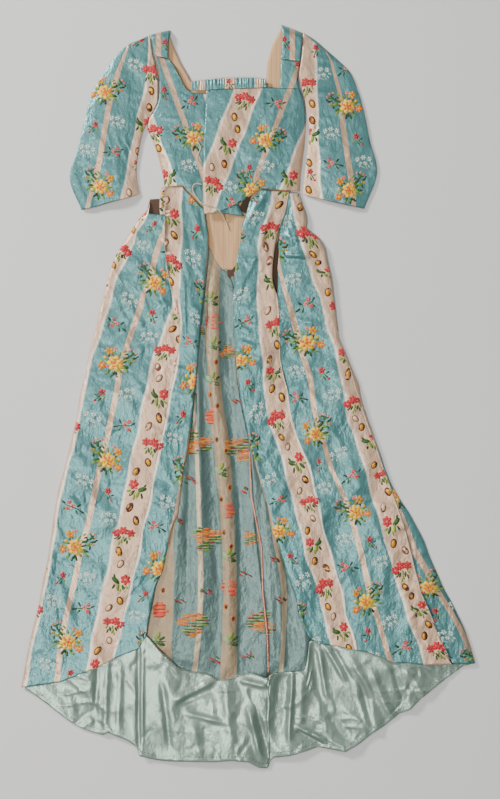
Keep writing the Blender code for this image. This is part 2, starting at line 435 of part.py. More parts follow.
# ---------------------------------------------------------------- skirt
back_left = inset(lattice(SKIRT_BACK_LEFT, (3, 2, 2, 2, 2, 2, 2, 3), (1, 1, 1, 2, 2, 2, 2, 2)), 0, 1)
back_right = inset(lattice(SKIRT_BACK_RIGHT, (3, 2, 2, 2, 2, 2, 2, 3), (2, 2, 2, 1, 1, 1)), -1, -1)
wall("skirt_back_left", "silk_reverse", back_left, SILK_WALL)
wall("skirt_back_right", "silk_reverse", back_right, SILK_WALL)

facing_left = inset(lattice(SKIRT_BACK_LEFT, (3, 2, 2, 2, 2, 2, 2, 3), (1, 1, 1, 2, 2, 2, 2, 2), FACING_TOP_LEFT), 0, 1)
facing_right = inset(lattice(SKIRT_BACK_RIGHT, (3, 2, 2, 2, 2, 2, 2, 3), (2, 2, 2, 1, 1, 1), FACING_TOP_RIGHT), -1, -1)
wall("hem_facing_left", "facing_silk", facing_left, SILK_WALL, SILK_WALL + PLY_GAP)
wall("hem_facing_right", "facing_silk", facing_right, SILK_WALL, SILK_WALL + PLY_GAP)

front_left = rolled(lattice(SKIRT_FRONT_LEFT, (2,) * 10, (2, 2, 1, 2, 2)), ("last",))
front_right = rolled(lattice(SKIRT_FRONT_RIGHT, (2,) * 2 + (1,) + (2,) * 10, (2, 1, 1, 2, 1, 1)), ("last",))
# the fronts lie a facing's thickness higher where the facing is under them
for grid in (front_left, front_right):
    along = grid[:, :, 1]
    share = np.clip((-44.0 - along) / 8.0, 0.0, 1.0)
    grid[:, :, 2] += np.where(grid[:, :, 2] > 0.5, 1.5 * share, 0.0)
wall("skirt_front_left", "silk_brocade", front_left, SILK_WALL)
wall("skirt_front_right", "silk_brocade", front_right, SILK_WALL)

# ---------------------------------------------------------------- bodice back and its lining
left_edge = [(p[0], p[1]) for p in SKIRT_BACK_LEFT[0][4:]]
right_edge = [(p[0], p[1]) for p in SKIRT_BACK_RIGHT[0][1:]]
levels = sorted({round(p[1], 2) for p in left_edge + right_edge if p[1] < 43.0}, reverse=True)


def edge_at(edge, y):
    pairs = sorted((p[1], p[0]) for p in edge)
    return float(np.interp(y, [p[0] for p in pairs], [p[1] for p in pairs]))


point_rows = []
for y in levels:
    left, right = edge_at(left_edge, y), edge_at(right_edge, y)
    if right - left < 0.15:
        continue
    point_rows.append([(left + f * (right - left), y + 0.08) for f in (0, 0.3, 0.72, 1)])
body_rows = [[tuple(p) for p in row[1:]] for row in BODICE_BACK_TOP + BODICE_BACK_BODY] + point_rows
back_grid = np.array([[(p[0], p[1], 0.0) for p in row] for row in body_rows], float)
keep = np.ones((len(body_rows) - 1, 3), bool)
keep[: len(BODICE_BACK_TOP), 1] = False
wall("bodice_back", "silk_brocade", back_grid, SILK_WALL, 0.0, keep)
wall("back_lining", "linen_lining", back_grid, LINEN_WALL, SILK_WALL + PLY_GAP, keep)

# ---------------------------------------------------------------- bodice fronts, straps
left_front = lattice(BODICE_FRONT_LEFT, (1, 1, 1, 1, 2, 2, 2, 2, 2), (2, 2, 1, 2))


def side_fold(grid, first_row, side):
    """From the underarm down the side edge comes down to the table."""
    column, inner = (0, 1) if side == "first" else (-1, -2)
    for r in range(first_row, len(grid)):
        fade = min(1.0, (r - first_row + 1) / 1.0)
        grid[r, column, 2] = grid[r, column, 2] * (1 - fade)
        grid[r, inner, 2] = max(grid[r, inner, 2] * 0.8, 6.0)
    return grid


left_front = side_fold(left_front, 5, "first")
wall("bodice_front_left", "silk_brocade", left_front, SILK_WALL)

right_front = lattice(BODICE_FRONT_RIGHT, (1, 2, 2, 2, 2, 1), (2, 2, 2, 2, 2))
right_front = side_fold(right_front, 3, "last")
right_rows, right_cols = right_front.shape[:2]
tab = lattice(BODICE_TAB_RIGHT, (1, 1), (2, 2, 2))[:-1]
tab = np.array([[np.array([np.interp(k / 2, range(4), row[::2, c]) for c in range(3)]) for k in (0, 3, 6)] for row in tab])
blank = np.repeat(right_front[0][None], len(tab), axis=0)
for r in range(len(tab)):
    blank[r, -3:] = tab[r]
whole = np.concatenate([blank, right_front], axis=0)
kept = np.ones((len(whole) - 1, right_cols - 1), bool)
kept[: len(tab), : right_cols - 3] = False
wall("bodice_front_right", "silk_brocade", whole, SILK_WALL, 0.0, kept)

for label, table in (("left", STRAP_LEFT), ("right", STRAP_RIGHT)):
    wall("shoulder_strap_" + label, "silk_brocade", lattice(table, (2, 2, 1), (2, 2)), SILK_WALL)

# ---------------------------------------------------------------- sleeves
SHARES = (0.0, 0.1, 0.25, 0.42, 0.58, 0.75, 0.9, 1.0)
sleeve("sleeve_left", SLEEVE_LEFT, SHARES, SILK_WALL)
sleeve("sleeve_right", SLEEVE_RIGHT, SHARES, SILK_WALL)

# ---------------------------------------------------------------- neck casing and cords
casing = np.array([[(*row[1], row[3]), ((row[1][0] + row[2][0]) / 2, (row[1][1] + row[2][1]) / 2, row[3] + 1.0),
                    (*row[2], row[3])] for row in NECK_CASING], float)
wall("neck_casing", "silk_brocade", casing, 2.6)
cord("closing_cord", CLOSING_CORD)
cord("waist_tie", WAIST_TIE)
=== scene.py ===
# Looks of the robe a la francaise laid out flat. Metres, +Z up, neck toward +Y.
import bpy
import json
import math
import numpy as np
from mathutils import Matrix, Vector
from mathutils.bvhtree import BVHTree

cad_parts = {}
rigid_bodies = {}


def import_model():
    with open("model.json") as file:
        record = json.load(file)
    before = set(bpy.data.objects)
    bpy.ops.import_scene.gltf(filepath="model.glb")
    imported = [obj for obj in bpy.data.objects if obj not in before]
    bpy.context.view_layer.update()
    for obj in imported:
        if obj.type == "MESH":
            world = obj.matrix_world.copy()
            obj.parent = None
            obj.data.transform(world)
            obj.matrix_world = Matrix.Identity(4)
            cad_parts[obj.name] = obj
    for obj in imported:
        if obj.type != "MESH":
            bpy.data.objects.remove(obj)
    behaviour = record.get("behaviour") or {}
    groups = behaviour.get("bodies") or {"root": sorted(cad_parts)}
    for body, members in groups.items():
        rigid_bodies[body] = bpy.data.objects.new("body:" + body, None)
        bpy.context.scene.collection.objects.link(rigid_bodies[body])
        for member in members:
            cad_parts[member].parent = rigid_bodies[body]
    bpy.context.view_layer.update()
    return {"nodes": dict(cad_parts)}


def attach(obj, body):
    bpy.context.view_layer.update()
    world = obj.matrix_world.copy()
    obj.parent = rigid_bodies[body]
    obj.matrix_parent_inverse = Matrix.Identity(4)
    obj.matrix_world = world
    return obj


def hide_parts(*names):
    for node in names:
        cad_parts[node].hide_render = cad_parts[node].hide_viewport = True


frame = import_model()

CM, MM = 0.01, 0.001
SHIFT = -0.05            # cm, the same centring as the CAD
rng = np.random.default_rng(1760)


def world(x, y, z):
    return np.stack([np.asarray(x) * CM, (np.asarray(y) + SHIFT) * CM, np.asarray(z) * MM], axis=-1)


# ---------------------------------------------------------------- camera
cam_data = bpy.data.cameras.new("camera")
cam_data.sensor_width = 36.0
cam_data.lens = 36.0 * 4.0 / 1.7578
cam = bpy.data.objects.new("camera", cam_data)
cam.location = (0.0041, -0.0056, 4.0)
cam.rotation_euler = (0.0, 0.0, 0.0)
bpy.context.scene.collection.objects.link(cam)
bpy.context.scene.camera = cam

# ---------------------------------------------------------------- cords, along the CAD routes
CLOSING_CORD = (
    (-9.95, 56.9, 14.5), (-10.9, 56.8, 15.5), (-11.2, 56.2, 15.6), (-10.6, 55.3, 15.5),
    (-10.3, 54.6, 15.4), (-10.9, 53.3, 15.3), (-11.2, 52.2, 15.2), (-10.6, 51.3, 15.0), (-10.05, 50.4, 14.0),
)
WAIST_TIE = (
    (-10.2, 46.6, 12.2), (-10.9, 46.9, 12.2), (-11.7, 46.8, 12.2), (-12.2, 46.2, 12.0), (-12.2, 45.5, 11.8),
    (-11.7, 44.4, 11.6), (-10.8, 43.2, 11.8), (-10.3, 42.6, 13.8), (-9.9, 42.3, 16.4), (-9.2, 42.0, 17.0),
    (-7.7, 41.8, 17.2), (-6.6, 41.2, 17.2), (-6.05, 40.6, 16.6), (-5.7, 40.1, 13.0), (-5.4, 39.6, 11.4), (-5.2, 39.2, 9.0), (-5.0, 38.7, 5.6),
    (-4.6, 37.9, 5.0), (-4.3, 36.8, 5.0),
)
CORD_DIAMETER = 0.0024


# ---------------------------------------------------------------- materials
class Nodes:
    """Short hand for building a node tree."""

    def __init__(self, name):
        self.mat = bpy.data.materials.new(name)
        self.mat.use_nodes = True
        self.tree = self.mat.node_tree
        self.bsdf = self.tree.nodes["Principled BSDF"]
        self.out = self.tree.nodes["Material Output"]

    def new(self, kind, **props):
        n = self.tree.nodes.new(kind)
        for k, v in props.items():
            setattr(n, k, v)
        return n

    def put(self, socket, value):
        if isinstance(value, bpy.types.NodeSocket):
            self.tree.links.new(value, socket)
        else:
            socket.default_value = value

    def math(self, op, a, b=0.0, c=0.0, clamp=False):
        n = self.new("ShaderNodeMath", operation=op, use_clamp=clamp)
        for s, v in zip(n.inputs, (a, b, c)):
            self.put(s, v)
        return n.outputs[0]

    def step(self, x, lo, hi):
        n = self.new("ShaderNodeMapRange", interpolation_type="SMOOTHSTEP")
        self.put(n.inputs["Value"], x)
        self.put(n.inputs["From Min"], lo)
        self.put(n.inputs["From Max"], hi)
        return n.outputs[0]

    def mix(self, f, a, b, kind="MIX"):
        n = self.new("ShaderNodeMix", data_type="RGBA", blend_type=kind)
        self.put(n.inputs[0], f)
        for s, v in ((n.inputs[6], a), (n.inputs[7], b)):
            self.put(s, (*v, 1.0) if isinstance(v, tuple) and len(v) == 3 else v)
        return n.outputs[2]

    def noise(self, vector, scale, detail=3.0, rough=0.55):
        n = self.new("ShaderNodeTexNoise")
        self.put(n.inputs["Vector"], vector)
        n.inputs["Scale"].default_value = scale
        n.inputs["Detail"].default_value = detail
        n.inputs["Roughness"].default_value = rough
        return n.outputs[0]

    def uv(self):
        n = self.new("ShaderNodeUVMap", uv_map="UVMap")
        return n.outputs[0]

    def vector(self, x, y, z=0.0):
        n = self.new("ShaderNodeCombineXYZ")
        for s, v in zip(n.inputs, (x, y, z)):
            self.put(s, v)
        return n.outputs[0]

    def scale(self, v, sx, sy, sz=1.0):
        n = self.new("ShaderNodeVectorMath", operation="MULTIPLY")
        self.put(n.inputs[0], v)
        n.inputs[1].default_value = (sx, sy, sz)
        return n.outputs[0]

    def bump(self, height, strength, distance, normal=None):
        n = self.new("ShaderNodeBump")
        n.inputs["Strength"].default_value = strength
        n.inputs["Distance"].default_value = distance
        self.put(n.inputs["Height"], height)
        if normal is not None:
            self.put(n.inputs["Normal"], normal)
        return n.outputs[0]

    def surface(self, colour, rough, normal=None, sheen=0.0, sheen_rough=0.4, sheen_tint=(1.0, 1.0, 1.0), specular=0.4, aniso=0.0, metallic=0.0):
        b = self.bsdf.inputs
        b["Metallic"].default_value = metallic
        self.put(b["Base Color"], colour)
        self.put(b["Roughness"], rough)
        b["Sheen Weight"].default_value = sheen
        b["Sheen Roughness"].default_value = sheen_rough
        b["Sheen Tint"].default_value = (*sheen_tint, 1.0)
        b["Specular IOR Level"].default_value = specular
        b["Anisotropic"].default_value = aniso
        if normal is not None:
            self.put(b["Normal"], normal)
        return self.mat


def srgb(r, g, b):
    return tuple(((v / 255 + 0.055) / 1.055) ** 2.4 if v > 10 else v / 255 / 12.92 for v in (r, g, b))


def lin(r, g, b, a=1.0):
    return (*srgb(r, g, b), a)


def cloth_bump(n, uv, obj, fine=1.0):
    """Ribbed weave, small crumples."""
    weave = n.math("SINE", n.math("MULTIPLY", n.new_sep(uv)[1], 2 * math.pi * 10 / 0.09))
    warp = n.math("SINE", n.math("MULTIPLY", n.new_sep(uv)[0], 2 * math.pi * 10 / 0.07))
    ribs = n.math("ADD", n.math("MULTIPLY", weave, 0.6), n.math("MULTIPLY", warp, 0.4))
    first = n.bump(ribs, 0.25, 0.00012)
    crumple = n.noise(n.scale(obj, 1.0, 0.62, 1.0), 46.0, 4.0, 0.55)
    return n.bump(crumple, 0.85 * fine, 0.0062, first)


def _sep(self, v):
    n = self.new("ShaderNodeSeparateXYZ")
    self.put(n.inputs[0], v)
    return n.outputs


Nodes.new_sep = _sep


def obj_co(n):
    return n.new("ShaderNodeTexCoord").outputs["Object"]


def stripes(n, uv):
    """Distances from the woven wide stripes (every 18.2 cm) and from the narrow ones between."""
    u = n.math("MULTIPLY", n.new_sep(uv)[0], 10.0)
    v = n.math("MULTIPLY", n.new_sep(uv)[1], 10.0)
    off = n.math("SUBTRACT", u, n.math("MULTIPLY", n.math("ROUND", n.math("DIVIDE", u, 18.2)), 18.2))
    return u, v, n.math("ABSOLUTE", off), off


def brocade(name, face=True):
    n = Nodes(name)
    uv, obj = n.uv(), obj_co(n)
    u, v, dist, off = stripes(n, uv)
    wave = n.math("MULTIPLY", n.math("SINE", n.math("MULTIPLY", v, 2 * math.pi / 10.0)), 0.14)
    ragged = n.noise(n.scale(uv, 3.0, 260.0), 1.0, 1.0)
    edge = n.math("ADD", n.math("ADD", dist, wave), n.math("MULTIPLY", ragged, -0.8))
    wide = n.math("SUBTRACT", 1.0, n.step(edge, 2.44, 2.78))
    feather = n.math("MULTIPLY", n.step(edge, 1.75, 2.45), n.math("SUBTRACT", 1.0, n.step(edge, 2.6, 2.95)))
    narrow = n.step(n.math("ADD", dist, n.math("MULTIPLY", n.math("SUBTRACT", ragged, 0.5), 0.12)), 8.46, 8.58)
    mottle = n.noise(obj, 9.0, 4.0)
    # streaks in the cloth: partly the weave's own slubs, partly painted sheen (the lighter teal streaks stand for the
    # satin's lustre)
    slub_and_sheen_streak = n.noise(n.scale(uv, 6.0, 220.0), 1.0, 2.0)
    grain = n.noise(n.scale(uv, 300.0, 300.0), 1.0, 1.0)
    if face:
        teal = n.mix(mottle, srgb(42, 102, 106), srgb(90, 142, 140))
        teal = n.mix(n.math("MULTIPLY", slub_and_sheen_streak, 0.45), teal, srgb(118, 170, 166))
        teal = n.mix(n.math("MULTIPLY", grain, 0.22), teal, srgb(50, 100, 106))
        cream = n.mix(mottle, srgb(202, 166, 134), srgb(224, 194, 164))
        cream = n.mix(n.math("MULTIPLY", slub_and_sheen_streak, 0.45), cream, srgb(172, 130, 102))
        cream = n.mix(n.math("MULTIPLY", feather, 0.8), cream, srgb(238, 224, 206))
        line = n.mix(grain, srgb(186, 148, 118), srgb(208, 176, 146))
    else:
        # reverse of the cloth: its own duller colours, also darkened as painted shade for the back lying low between
        # the fronts
        teal = n.mix(mottle, srgb(78, 108, 104), srgb(114, 140, 134))
        teal = n.mix(n.math("MULTIPLY", grain, 0.3), teal, srgb(66, 88, 84))
        cream = n.mix(mottle, srgb(154, 134, 104), srgb(184, 164, 132))
        cream = n.mix(n.math("MULTIPLY", slub_and_sheen_streak, 0.5), cream, srgb(132, 106, 78))
        line = n.mix(grain, srgb(176, 158, 126), srgb(196, 178, 146))
    colour = n.mix(wide, teal, cream)
    colour = n.mix(narrow, colour, line)
    rough = n.math("ADD", n.math("MULTIPLY", slub_and_sheen_streak, 0.12), n.math("ADD", 0.29 if face else 0.38, n.math("MULTIPLY", wide, 0.12)))
    normal = cloth_bump(n, uv, obj, 1.0)
    return n.surface(colour, rough, normal, sheen=0.2, sheen_rough=0.35, sheen_tint=srgb(190, 230, 228), specular=0.75, aniso=0.35, metallic=0.46)


def plain_silk(name, low, high, seam=None):
    n = Nodes(name)
    uv, obj = n.uv(), obj_co(n)
    mottle = n.noise(obj, 8.0, 4.0)
    slub = n.noise(n.scale(uv, 5.0, 240.0), 1.0, 2.0)
    grain = n.noise(n.scale(uv, 280.0, 280.0), 1.0, 1.0)
    colour = n.mix(mottle, srgb(*low), srgb(*high))
    colour = n.mix(n.math("MULTIPLY", slub, 0.4), colour, srgb(*(int(c * 1.06) if c * 1.06 < 255 else 250 for c in high)))
    colour = n.mix(n.math("MULTIPLY", grain, 0.2), colour, srgb(*(int(c * 0.85) for c in low)))
    rough = n.math("ADD", 0.27, n.math("MULTIPLY", slub, 0.12))
    return n.surface(colour, rough, cloth_bump(n, uv, obj, 0.45), sheen=0.1, sheen_rough=0.4, specular=0.8, aniso=0.3, metallic=0.58)


def linen(name, low, high, boned=False):
    n = Nodes(name)
    uv, obj = n.uv(), obj_co(n)
    u = n.math("MULTIPLY", n.new_sep(uv)[0], 10.0)
    v = n.math("MULTIPLY", n.new_sep(uv)[1], 10.0)
    slub_v = n.noise(n.scale(uv, 190.0, 7.0), 1.0, 2.0)
    slub_h = n.noise(n.scale(uv, 7.0, 190.0), 1.0, 2.0)
    spots = n.noise(obj, 14.0, 5.0, 0.6)
    colour = n.mix(spots, srgb(*low), srgb(*high))
    colour = n.mix(n.math("MULTIPLY", slub_v, 0.5), colour, srgb(*(int(c * 0.86) for c in low)))
    colour = n.mix(n.math("MULTIPLY", slub_h, 0.3), colour, srgb(*(min(255, int(c * 1.05)) for c in high)))
    height = n.math("ADD", slub_v, slub_h)
    first = n.bump(height, 0.5, 0.0003)
    if boned:
        saw = n.math("ABSOLUTE", n.math("SUBTRACT", n.math("FRACT", n.math("DIVIDE", u, 1.05)), 0.5))
        channel = n.step(saw, 0.40, 0.5)
        dash = n.math("GREATER_THAN", n.math("FRACT", n.math("DIVIDE", v, 0.32)), 0.45)
        # the grooves along the channel stitching are painted darker: painted shade in the grooves bumped down below
        colour = n.mix(n.math("MULTIPLY", channel, 0.35), colour, srgb(*(int(c * 0.72) for c in low)))
        colour = n.mix(n.math("MULTIPLY", n.math("MULTIPLY", n.step(saw, 0.46, 0.49), dash), 0.7), colour, srgb(236, 220, 190))
        first = n.bump(n.math("MULTIPLY", channel, -1.0), 0.7, 0.0008, first)
    normal = n.bump(n.noise(obj, 38.0, 3.0), 0.3, 0.002, first)
    return n.surface(colour, n.math("ADD", 0.78, n.math("MULTIPLY", slub_v, 0.12)), normal, sheen=0.15, sheen_rough=0.6, specular=0.25)


def cord_material():
    n = Nodes("cord_linen")
    obj = obj_co(n)
    wave = n.new("ShaderNodeTexWave", wave_type="BANDS", bands_direction="DIAGONAL")
    n.put(wave.inputs["Vector"], obj)
    wave.inputs["Scale"].default_value = 420.0
    twist = wave.outputs[1]
    fuzz = n.noise(obj, 900.0, 2.0)
    # the twist's grooves are painted darker and its crests lighter: painted shade and highlight along the plies
    colour = n.mix(twist, srgb(176, 152, 122), srgb(228, 212, 184))
    colour = n.mix(n.math("MULTIPLY", fuzz, 0.4), colour, srgb(206, 184, 150))
    return n.surface(colour, n.math("ADD", 0.72, n.math("MULTIPLY", fuzz, 0.15)), n.bump(twist, 0.7, 0.0004), sheen=0.2, specular=0.25)


def thread_material():
    """Brocaded flowers: colour from the piece's own tint, threads lying across."""
    n = Nodes("flower_thread")
    uv = n.uv()
    tint = n.new("ShaderNodeAttribute", attribute_name="tint").outputs["Color"]
    floats = n.noise(n.scale(uv, 60.0, 900.0), 1.0, 2.0)
    shade = n.noise(n.scale(uv, 30.0, 30.0), 1.0, 2.0)
    darker = n.new("ShaderNodeMix", data_type="RGBA", blend_type="MULTIPLY")
    darker.inputs[0].default_value = 1.0
    n.put(darker.inputs[6], tint)
    n.put(darker.inputs[7], n.mix(floats, (0.74, 0.72, 0.70), (1.08, 1.08, 1.05)))
    colour = n.mix(n.math("MULTIPLY", n.step(shade, 0.5, 0.8), 0.22), darker.outputs[2], srgb(240, 228, 205))
    normal = n.bump(floats, 0.5, 0.00025)
    return n.surface(colour, n.math("ADD", 0.5, n.math("MULTIPLY", floats, 0.2)), normal, sheen=0.1, specular=0.3)


MAT = {
    "silk_brocade": brocade("silk_brocade"),
    "silk_reverse": brocade("silk_reverse", face=False),
    "facing_silk": plain_silk("facing_silk", (92, 118, 108), (162, 182, 166)),
    "linen_lining": linen("linen_lining", (196, 150, 104), (214, 172, 126), boned=True),
    "strap_linen": linen("strap_linen", (176, 134, 94), (198, 158, 116)),
    # dark brown: painted shade, the colour of the sheets laid where the pocket openings and gaps lie in shadow
    "pocket_linen": linen("pocket_linen", (64, 46, 34), (88, 66, 50)),
    "selvage": plain_silk("selvage", (160, 92, 74), (190, 122, 102)),
    "cord_linen": cord_material(),
    "thread": thread_material(),
}
for node, obj in frame["nodes"].items():
    for s in obj.material_slots:
        if s.material and s.material.name.split(".")[0] in MAT:
            s.material = MAT[s.material.name.split(".")[0]]


def free_cord(name, node, route, exit_point):
    curve = bpy.data.curves.new(name, "CURVE")
    curve.dimensions = "3D"
    curve.bevel_depth = CORD_DIAMETER / 2
    curve.bevel_resolution = 4
    curve.use_fill_caps = True
    points = np.array([world(*p) for p in route])
    knots = np.concatenate(([0], np.cumsum(np.linalg.norm(np.diff(points, axis=0), axis=1))))
    fine = np.linspace(0, knots[-1], 5 * len(points))
    smooth = np.stack([np.interp(fine, knots, points[:, k]) for k in range(3)], axis=1)
    for _ in range(3):
        smooth[1:-1] = (smooth[:-2] + 2 * smooth[1:-1] + smooth[2:]) / 4
    spline = curve.splines.new("POLY")
    spline.points.add(len(smooth) - 1)
    for target, p in zip(spline.points, smooth):
        target.co = (*p, 1.0)
    piece = bpy.data.objects.new(name, curve)
    bpy.context.scene.collection.objects.link(piece)
    curve.materials.append(MAT["cord_linen"])
    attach(piece, "root")
    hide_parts(node)
    return piece


free_cord("closing_lace", "closing_cord", CLOSING_CORD, None)
free_cord("waist_lace", "waist_tie", WAIST_TIE, None)


# ---------------------------------------------------------------- cloth panels
def smoothstep(x, lo, hi):
    t = np.clip((x - lo) / (hi - lo), 0.0, 1.0)
    return t * t * (3 - 2 * t)


def lattice_noise(seed, x, y, size):
    """Smooth seeded noise of one wavelength (cm), about -1 to 1."""
    g = np.random.default_rng(seed).uniform(-1, 1, (128, 128))
    fx, fy = x / size + 40.0, y / size + 60.0
    ix, iy = np.floor(fx).astype(int), np.floor(fy).astype(int)
    tx, ty = fx - ix, fy - iy
    tx, ty = tx * tx * (3 - 2 * tx), ty * ty * (3 - 2 * ty)
    a, b = g[ix % 128, iy % 128], g[(ix + 1) % 128, iy % 128]
    c, d = g[ix % 128, (iy + 1) % 128], g[(ix + 1) % 128, (iy + 1) % 128]
    return (a * (1 - tx) + b * tx) * (1 - ty) + (c * (1 - tx) + d * tx) * ty


def crumple(seed, x, y, amount=1.0, lean=0.35):
    """Crumpling of laid silk, mm: flat slopes met by long thin draws."""
    def thin(n, w):
        return np.exp(-(n / w) ** 2)

    def where(k, size):
        return smoothstep(lattice_noise(seed + k, x, y, size), -0.15, 0.35)

    bend = 0.7 * lattice_noise(seed + 9, x, y, 4.5)
    soft = 1.7 * lattice_noise(seed, x + lean * y, y * 0.6, 6.0) + 0.7 * lattice_noise(seed + 6, x + 0.7 * y, 0.7 * y - 0.4 * x, 3.3)
    down = lattice_noise(seed + 1, 0.8 * x + 0.6 * y + bend, 0.4 * (0.8 * y - 0.6 * x), 3.2)
    up = lattice_noise(seed + 2, 0.8 * x - 0.6 * y + bend, 0.4 * (0.8 * y + 0.6 * x), 3.6)
    over = lattice_noise(seed + 3, y + bend, 0.4 * x, 3.0)
    long = lattice_noise(seed + 4, x + lean * y + bend, 0.3 * y, 3.4)
    fine = lattice_noise(seed + 5, x + 0.3 * y, y * 0.7, 1.1)
    lines = 0.42 * thin(down, 0.13) * where(11, 6.0) - 0.36 * thin(up, 0.13) * where(12, 7.0) + 0.36 * thin(over, 0.11) * where(13, 5.5) + 0.34 * thin(long, 0.12) * where(14, 7.0)
    return amount * (0.62 * soft + lines + 0.09 * fine - 0.1)


def creases(x, y, table):
    """Ridges (+) and dents (-) along short lines: x0, y0, x1, y1, half width cm, height mm."""
    z = np.zeros_like(x)
    for x0, y0, x1, y1, w, h in table:
        dx, dy = x1 - x0, y1 - y0
        length = math.hypot(dx, dy)
        t = ((x - x0) * dx + (y - y0) * dy) / length ** 2
        side = ((x - x0) * dy - (y - y0) * dx) / length
        along = smoothstep(t, -0.12, 0.2) * (1 - smoothstep(t, 0.75, 1.12))
        z += h * np.exp(-(side / w) ** 2) * along
    return z


def run(path, levels, soften=0.012):
    """Points of a guide at the levels (0 top, 1 bottom), lightly smoothed."""
    p = np.array(path, float)
    dense = np.linspace(0, 1, 401)
    y = p[0, 1] + (p[-1, 1] - p[0, 1]) * dense
    x = np.interp(-y, -p[:, 1], p[:, 0])
    ends = x[0], x[-1]
    n = max(1, int(soften * 401))
    kernel = np.hanning(2 * n + 3)[1:-1]
    kernel /= kernel.sum()
    padded = np.concatenate([2 * x[0] - x[n:0:-1], x, 2 * x[-1] - x[-2:-n - 2:-1]])
    x = np.convolve(padded, kernel, "valid")[:401]
    x += (ends[0] - x[0]) * (1 - smoothstep(dense, 0, 0.03)) + (ends[1] - x[-1]) * smoothstep(dense, 0.97, 1)
    return np.interp(levels, dense, x), np.interp(levels, dense, y)


def guide_grid(table, rows, spacing, narrow_steps=3):
    """Grids x, y, z, u from guides, and the column index of each guide."""
    levels = np.linspace(0, 1, rows)
    cols = []
    for _, path, place, rise in table:
        x, y = run(path, levels)
        place, rise = np.array(place, float), np.array(rise, float)
        u = np.interp(-y, -place[:, 0], place[:, 1])
        z = np.interp(-y, -rise[:, 0], rise[:, 1])
        cols.append(np.stack([x, y, z, u], axis=1))
    cols = np.array(cols)
    parts, index = [], [0]
    for j in range(len(cols) - 1):
        gap = np.linalg.norm(cols[j + 1, :, :2] - cols[j, :, :2], axis=1).mean()
        n = max(narrow_steps, int(round(gap / spacing)))
        for k in range(n):
            f = k / n
            p = cols[j] * (1 - f) + cols[j + 1] * f
            s = f * f * (3 - 2 * f)
            p[:, 2] = cols[j, :, 2] * (1 - s) + cols[j + 1, :, 2] * s
            parts.append(p)
        index.append(index[-1] + n)
    parts.append(cols[-1])
    g = np.array(parts).transpose(1, 0, 2)
    return g[..., 0], g[..., 1], g[..., 2], g[..., 3], index, levels


def edge_distance(x, y, column):
    return np.hypot(x - x[:, column:column + 1], y - y[:, column:column + 1])


def roll(x, y, z, column, side, width, depth):
    """Round the cloth down at a fold or edge on one side (-1 columns before, +1 after)."""
    d = edge_distance(x, y, column)
    cols = np.arange(x.shape[1])[None, :]
    on = (cols <= column) if side < 0 else (cols >= column)
    drop = depth * np.clip(1 - d / width, 0, 1) ** 2
    return z - np.where(on, drop, 0.0)


FABRIC = {}


def link(name, data):
    piece = bpy.data.objects.new(name, data)
    bpy.context.scene.collection.objects.link(piece)
    return piece


def mesh_from(name, points, faces, uv, materials, index=None, tint=None):
    data = bpy.data.meshes.new(name)
    data.from_pydata([tuple(p) for p in points], [], [tuple(f) for f in faces])
    layer = data.uv_layers.new(name="UVMap")
    loops = np.empty(len(data.loops), int)
    data.loops.foreach_get("vertex_index", loops)
    layer.data.foreach_set("uv", np.asarray(uv, float)[loops].ravel())
    for m in materials:
        data.materials.append(m)
    if index is not None:
        data.polygons.foreach_set("material_index", np.asarray(index, int))
    if tint is not None:
        colours = data.color_attributes.new("tint", "FLOAT_COLOR", "POINT")
        colours.data.foreach_set("color", np.asarray(tint, float).ravel())
    data.polygons.foreach_set("use_smooth", np.ones(len(data.polygons), bool))
    data.update()
    return link(name, data)


def shell_arrays(x, y, top, u, v, wall, keep=None, under=None, start=0):
    """Closed cloth: vertices, quads and uv of a grid with a wall thickness."""
    rows, cols = x.shape
    if keep is None:
        keep = np.ones((rows - 1, cols - 1), bool)
    low = top - wall if under is None else under
    points = np.concatenate([world(x, y, top).reshape(-1, 3), world(x, y, low).reshape(-1, 3)])
    uv = np.stack([u / 10.0, v / 10.0], axis=-1).reshape(-1, 2)
    uv = np.concatenate([uv, uv])
    ids = np.arange(rows * cols).reshape(rows, cols)
    n = rows * cols
    r, c = np.nonzero(keep)
    a, b, d, e = ids[r, c], ids[r, c + 1], ids[r + 1, c + 1], ids[r + 1, c]
    faces = [np.stack([a, e, d, b], 1), np.stack([a + n, b + n, d + n, e + n], 1)]
    pad = np.zeros((rows + 1, cols + 1), bool)
    pad[1:-1, 1:-1] = keep
    for dr, dc, p, q in ((-1, 0, (0, 0), (0, 1)), (1, 0, (1, 1), (1, 0)), (0, -1, (1, 0), (0, 0)), (0, 1, (0, 1), (1, 1))):
        rr, cc = np.nonzero(keep & ~pad[1 + dr:rows + dr, 1 + dc:cols + dc])
        i, j = ids[rr + p[0], cc + p[1]], ids[rr + q[0], cc + q[1]]
        faces.append(np.stack([i, j, j + n, i + n], 1))
    faces = np.concatenate(faces)
    used = np.zeros(2 * n, bool)
    used[faces.ravel()] = True
    remap = np.cumsum(used) - 1
    return points[used], remap[faces] + start, uv[used]


def finish_piece(piece, nodes):
    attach(piece, "root")
    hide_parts(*nodes)
    return piece


LAYER = {}


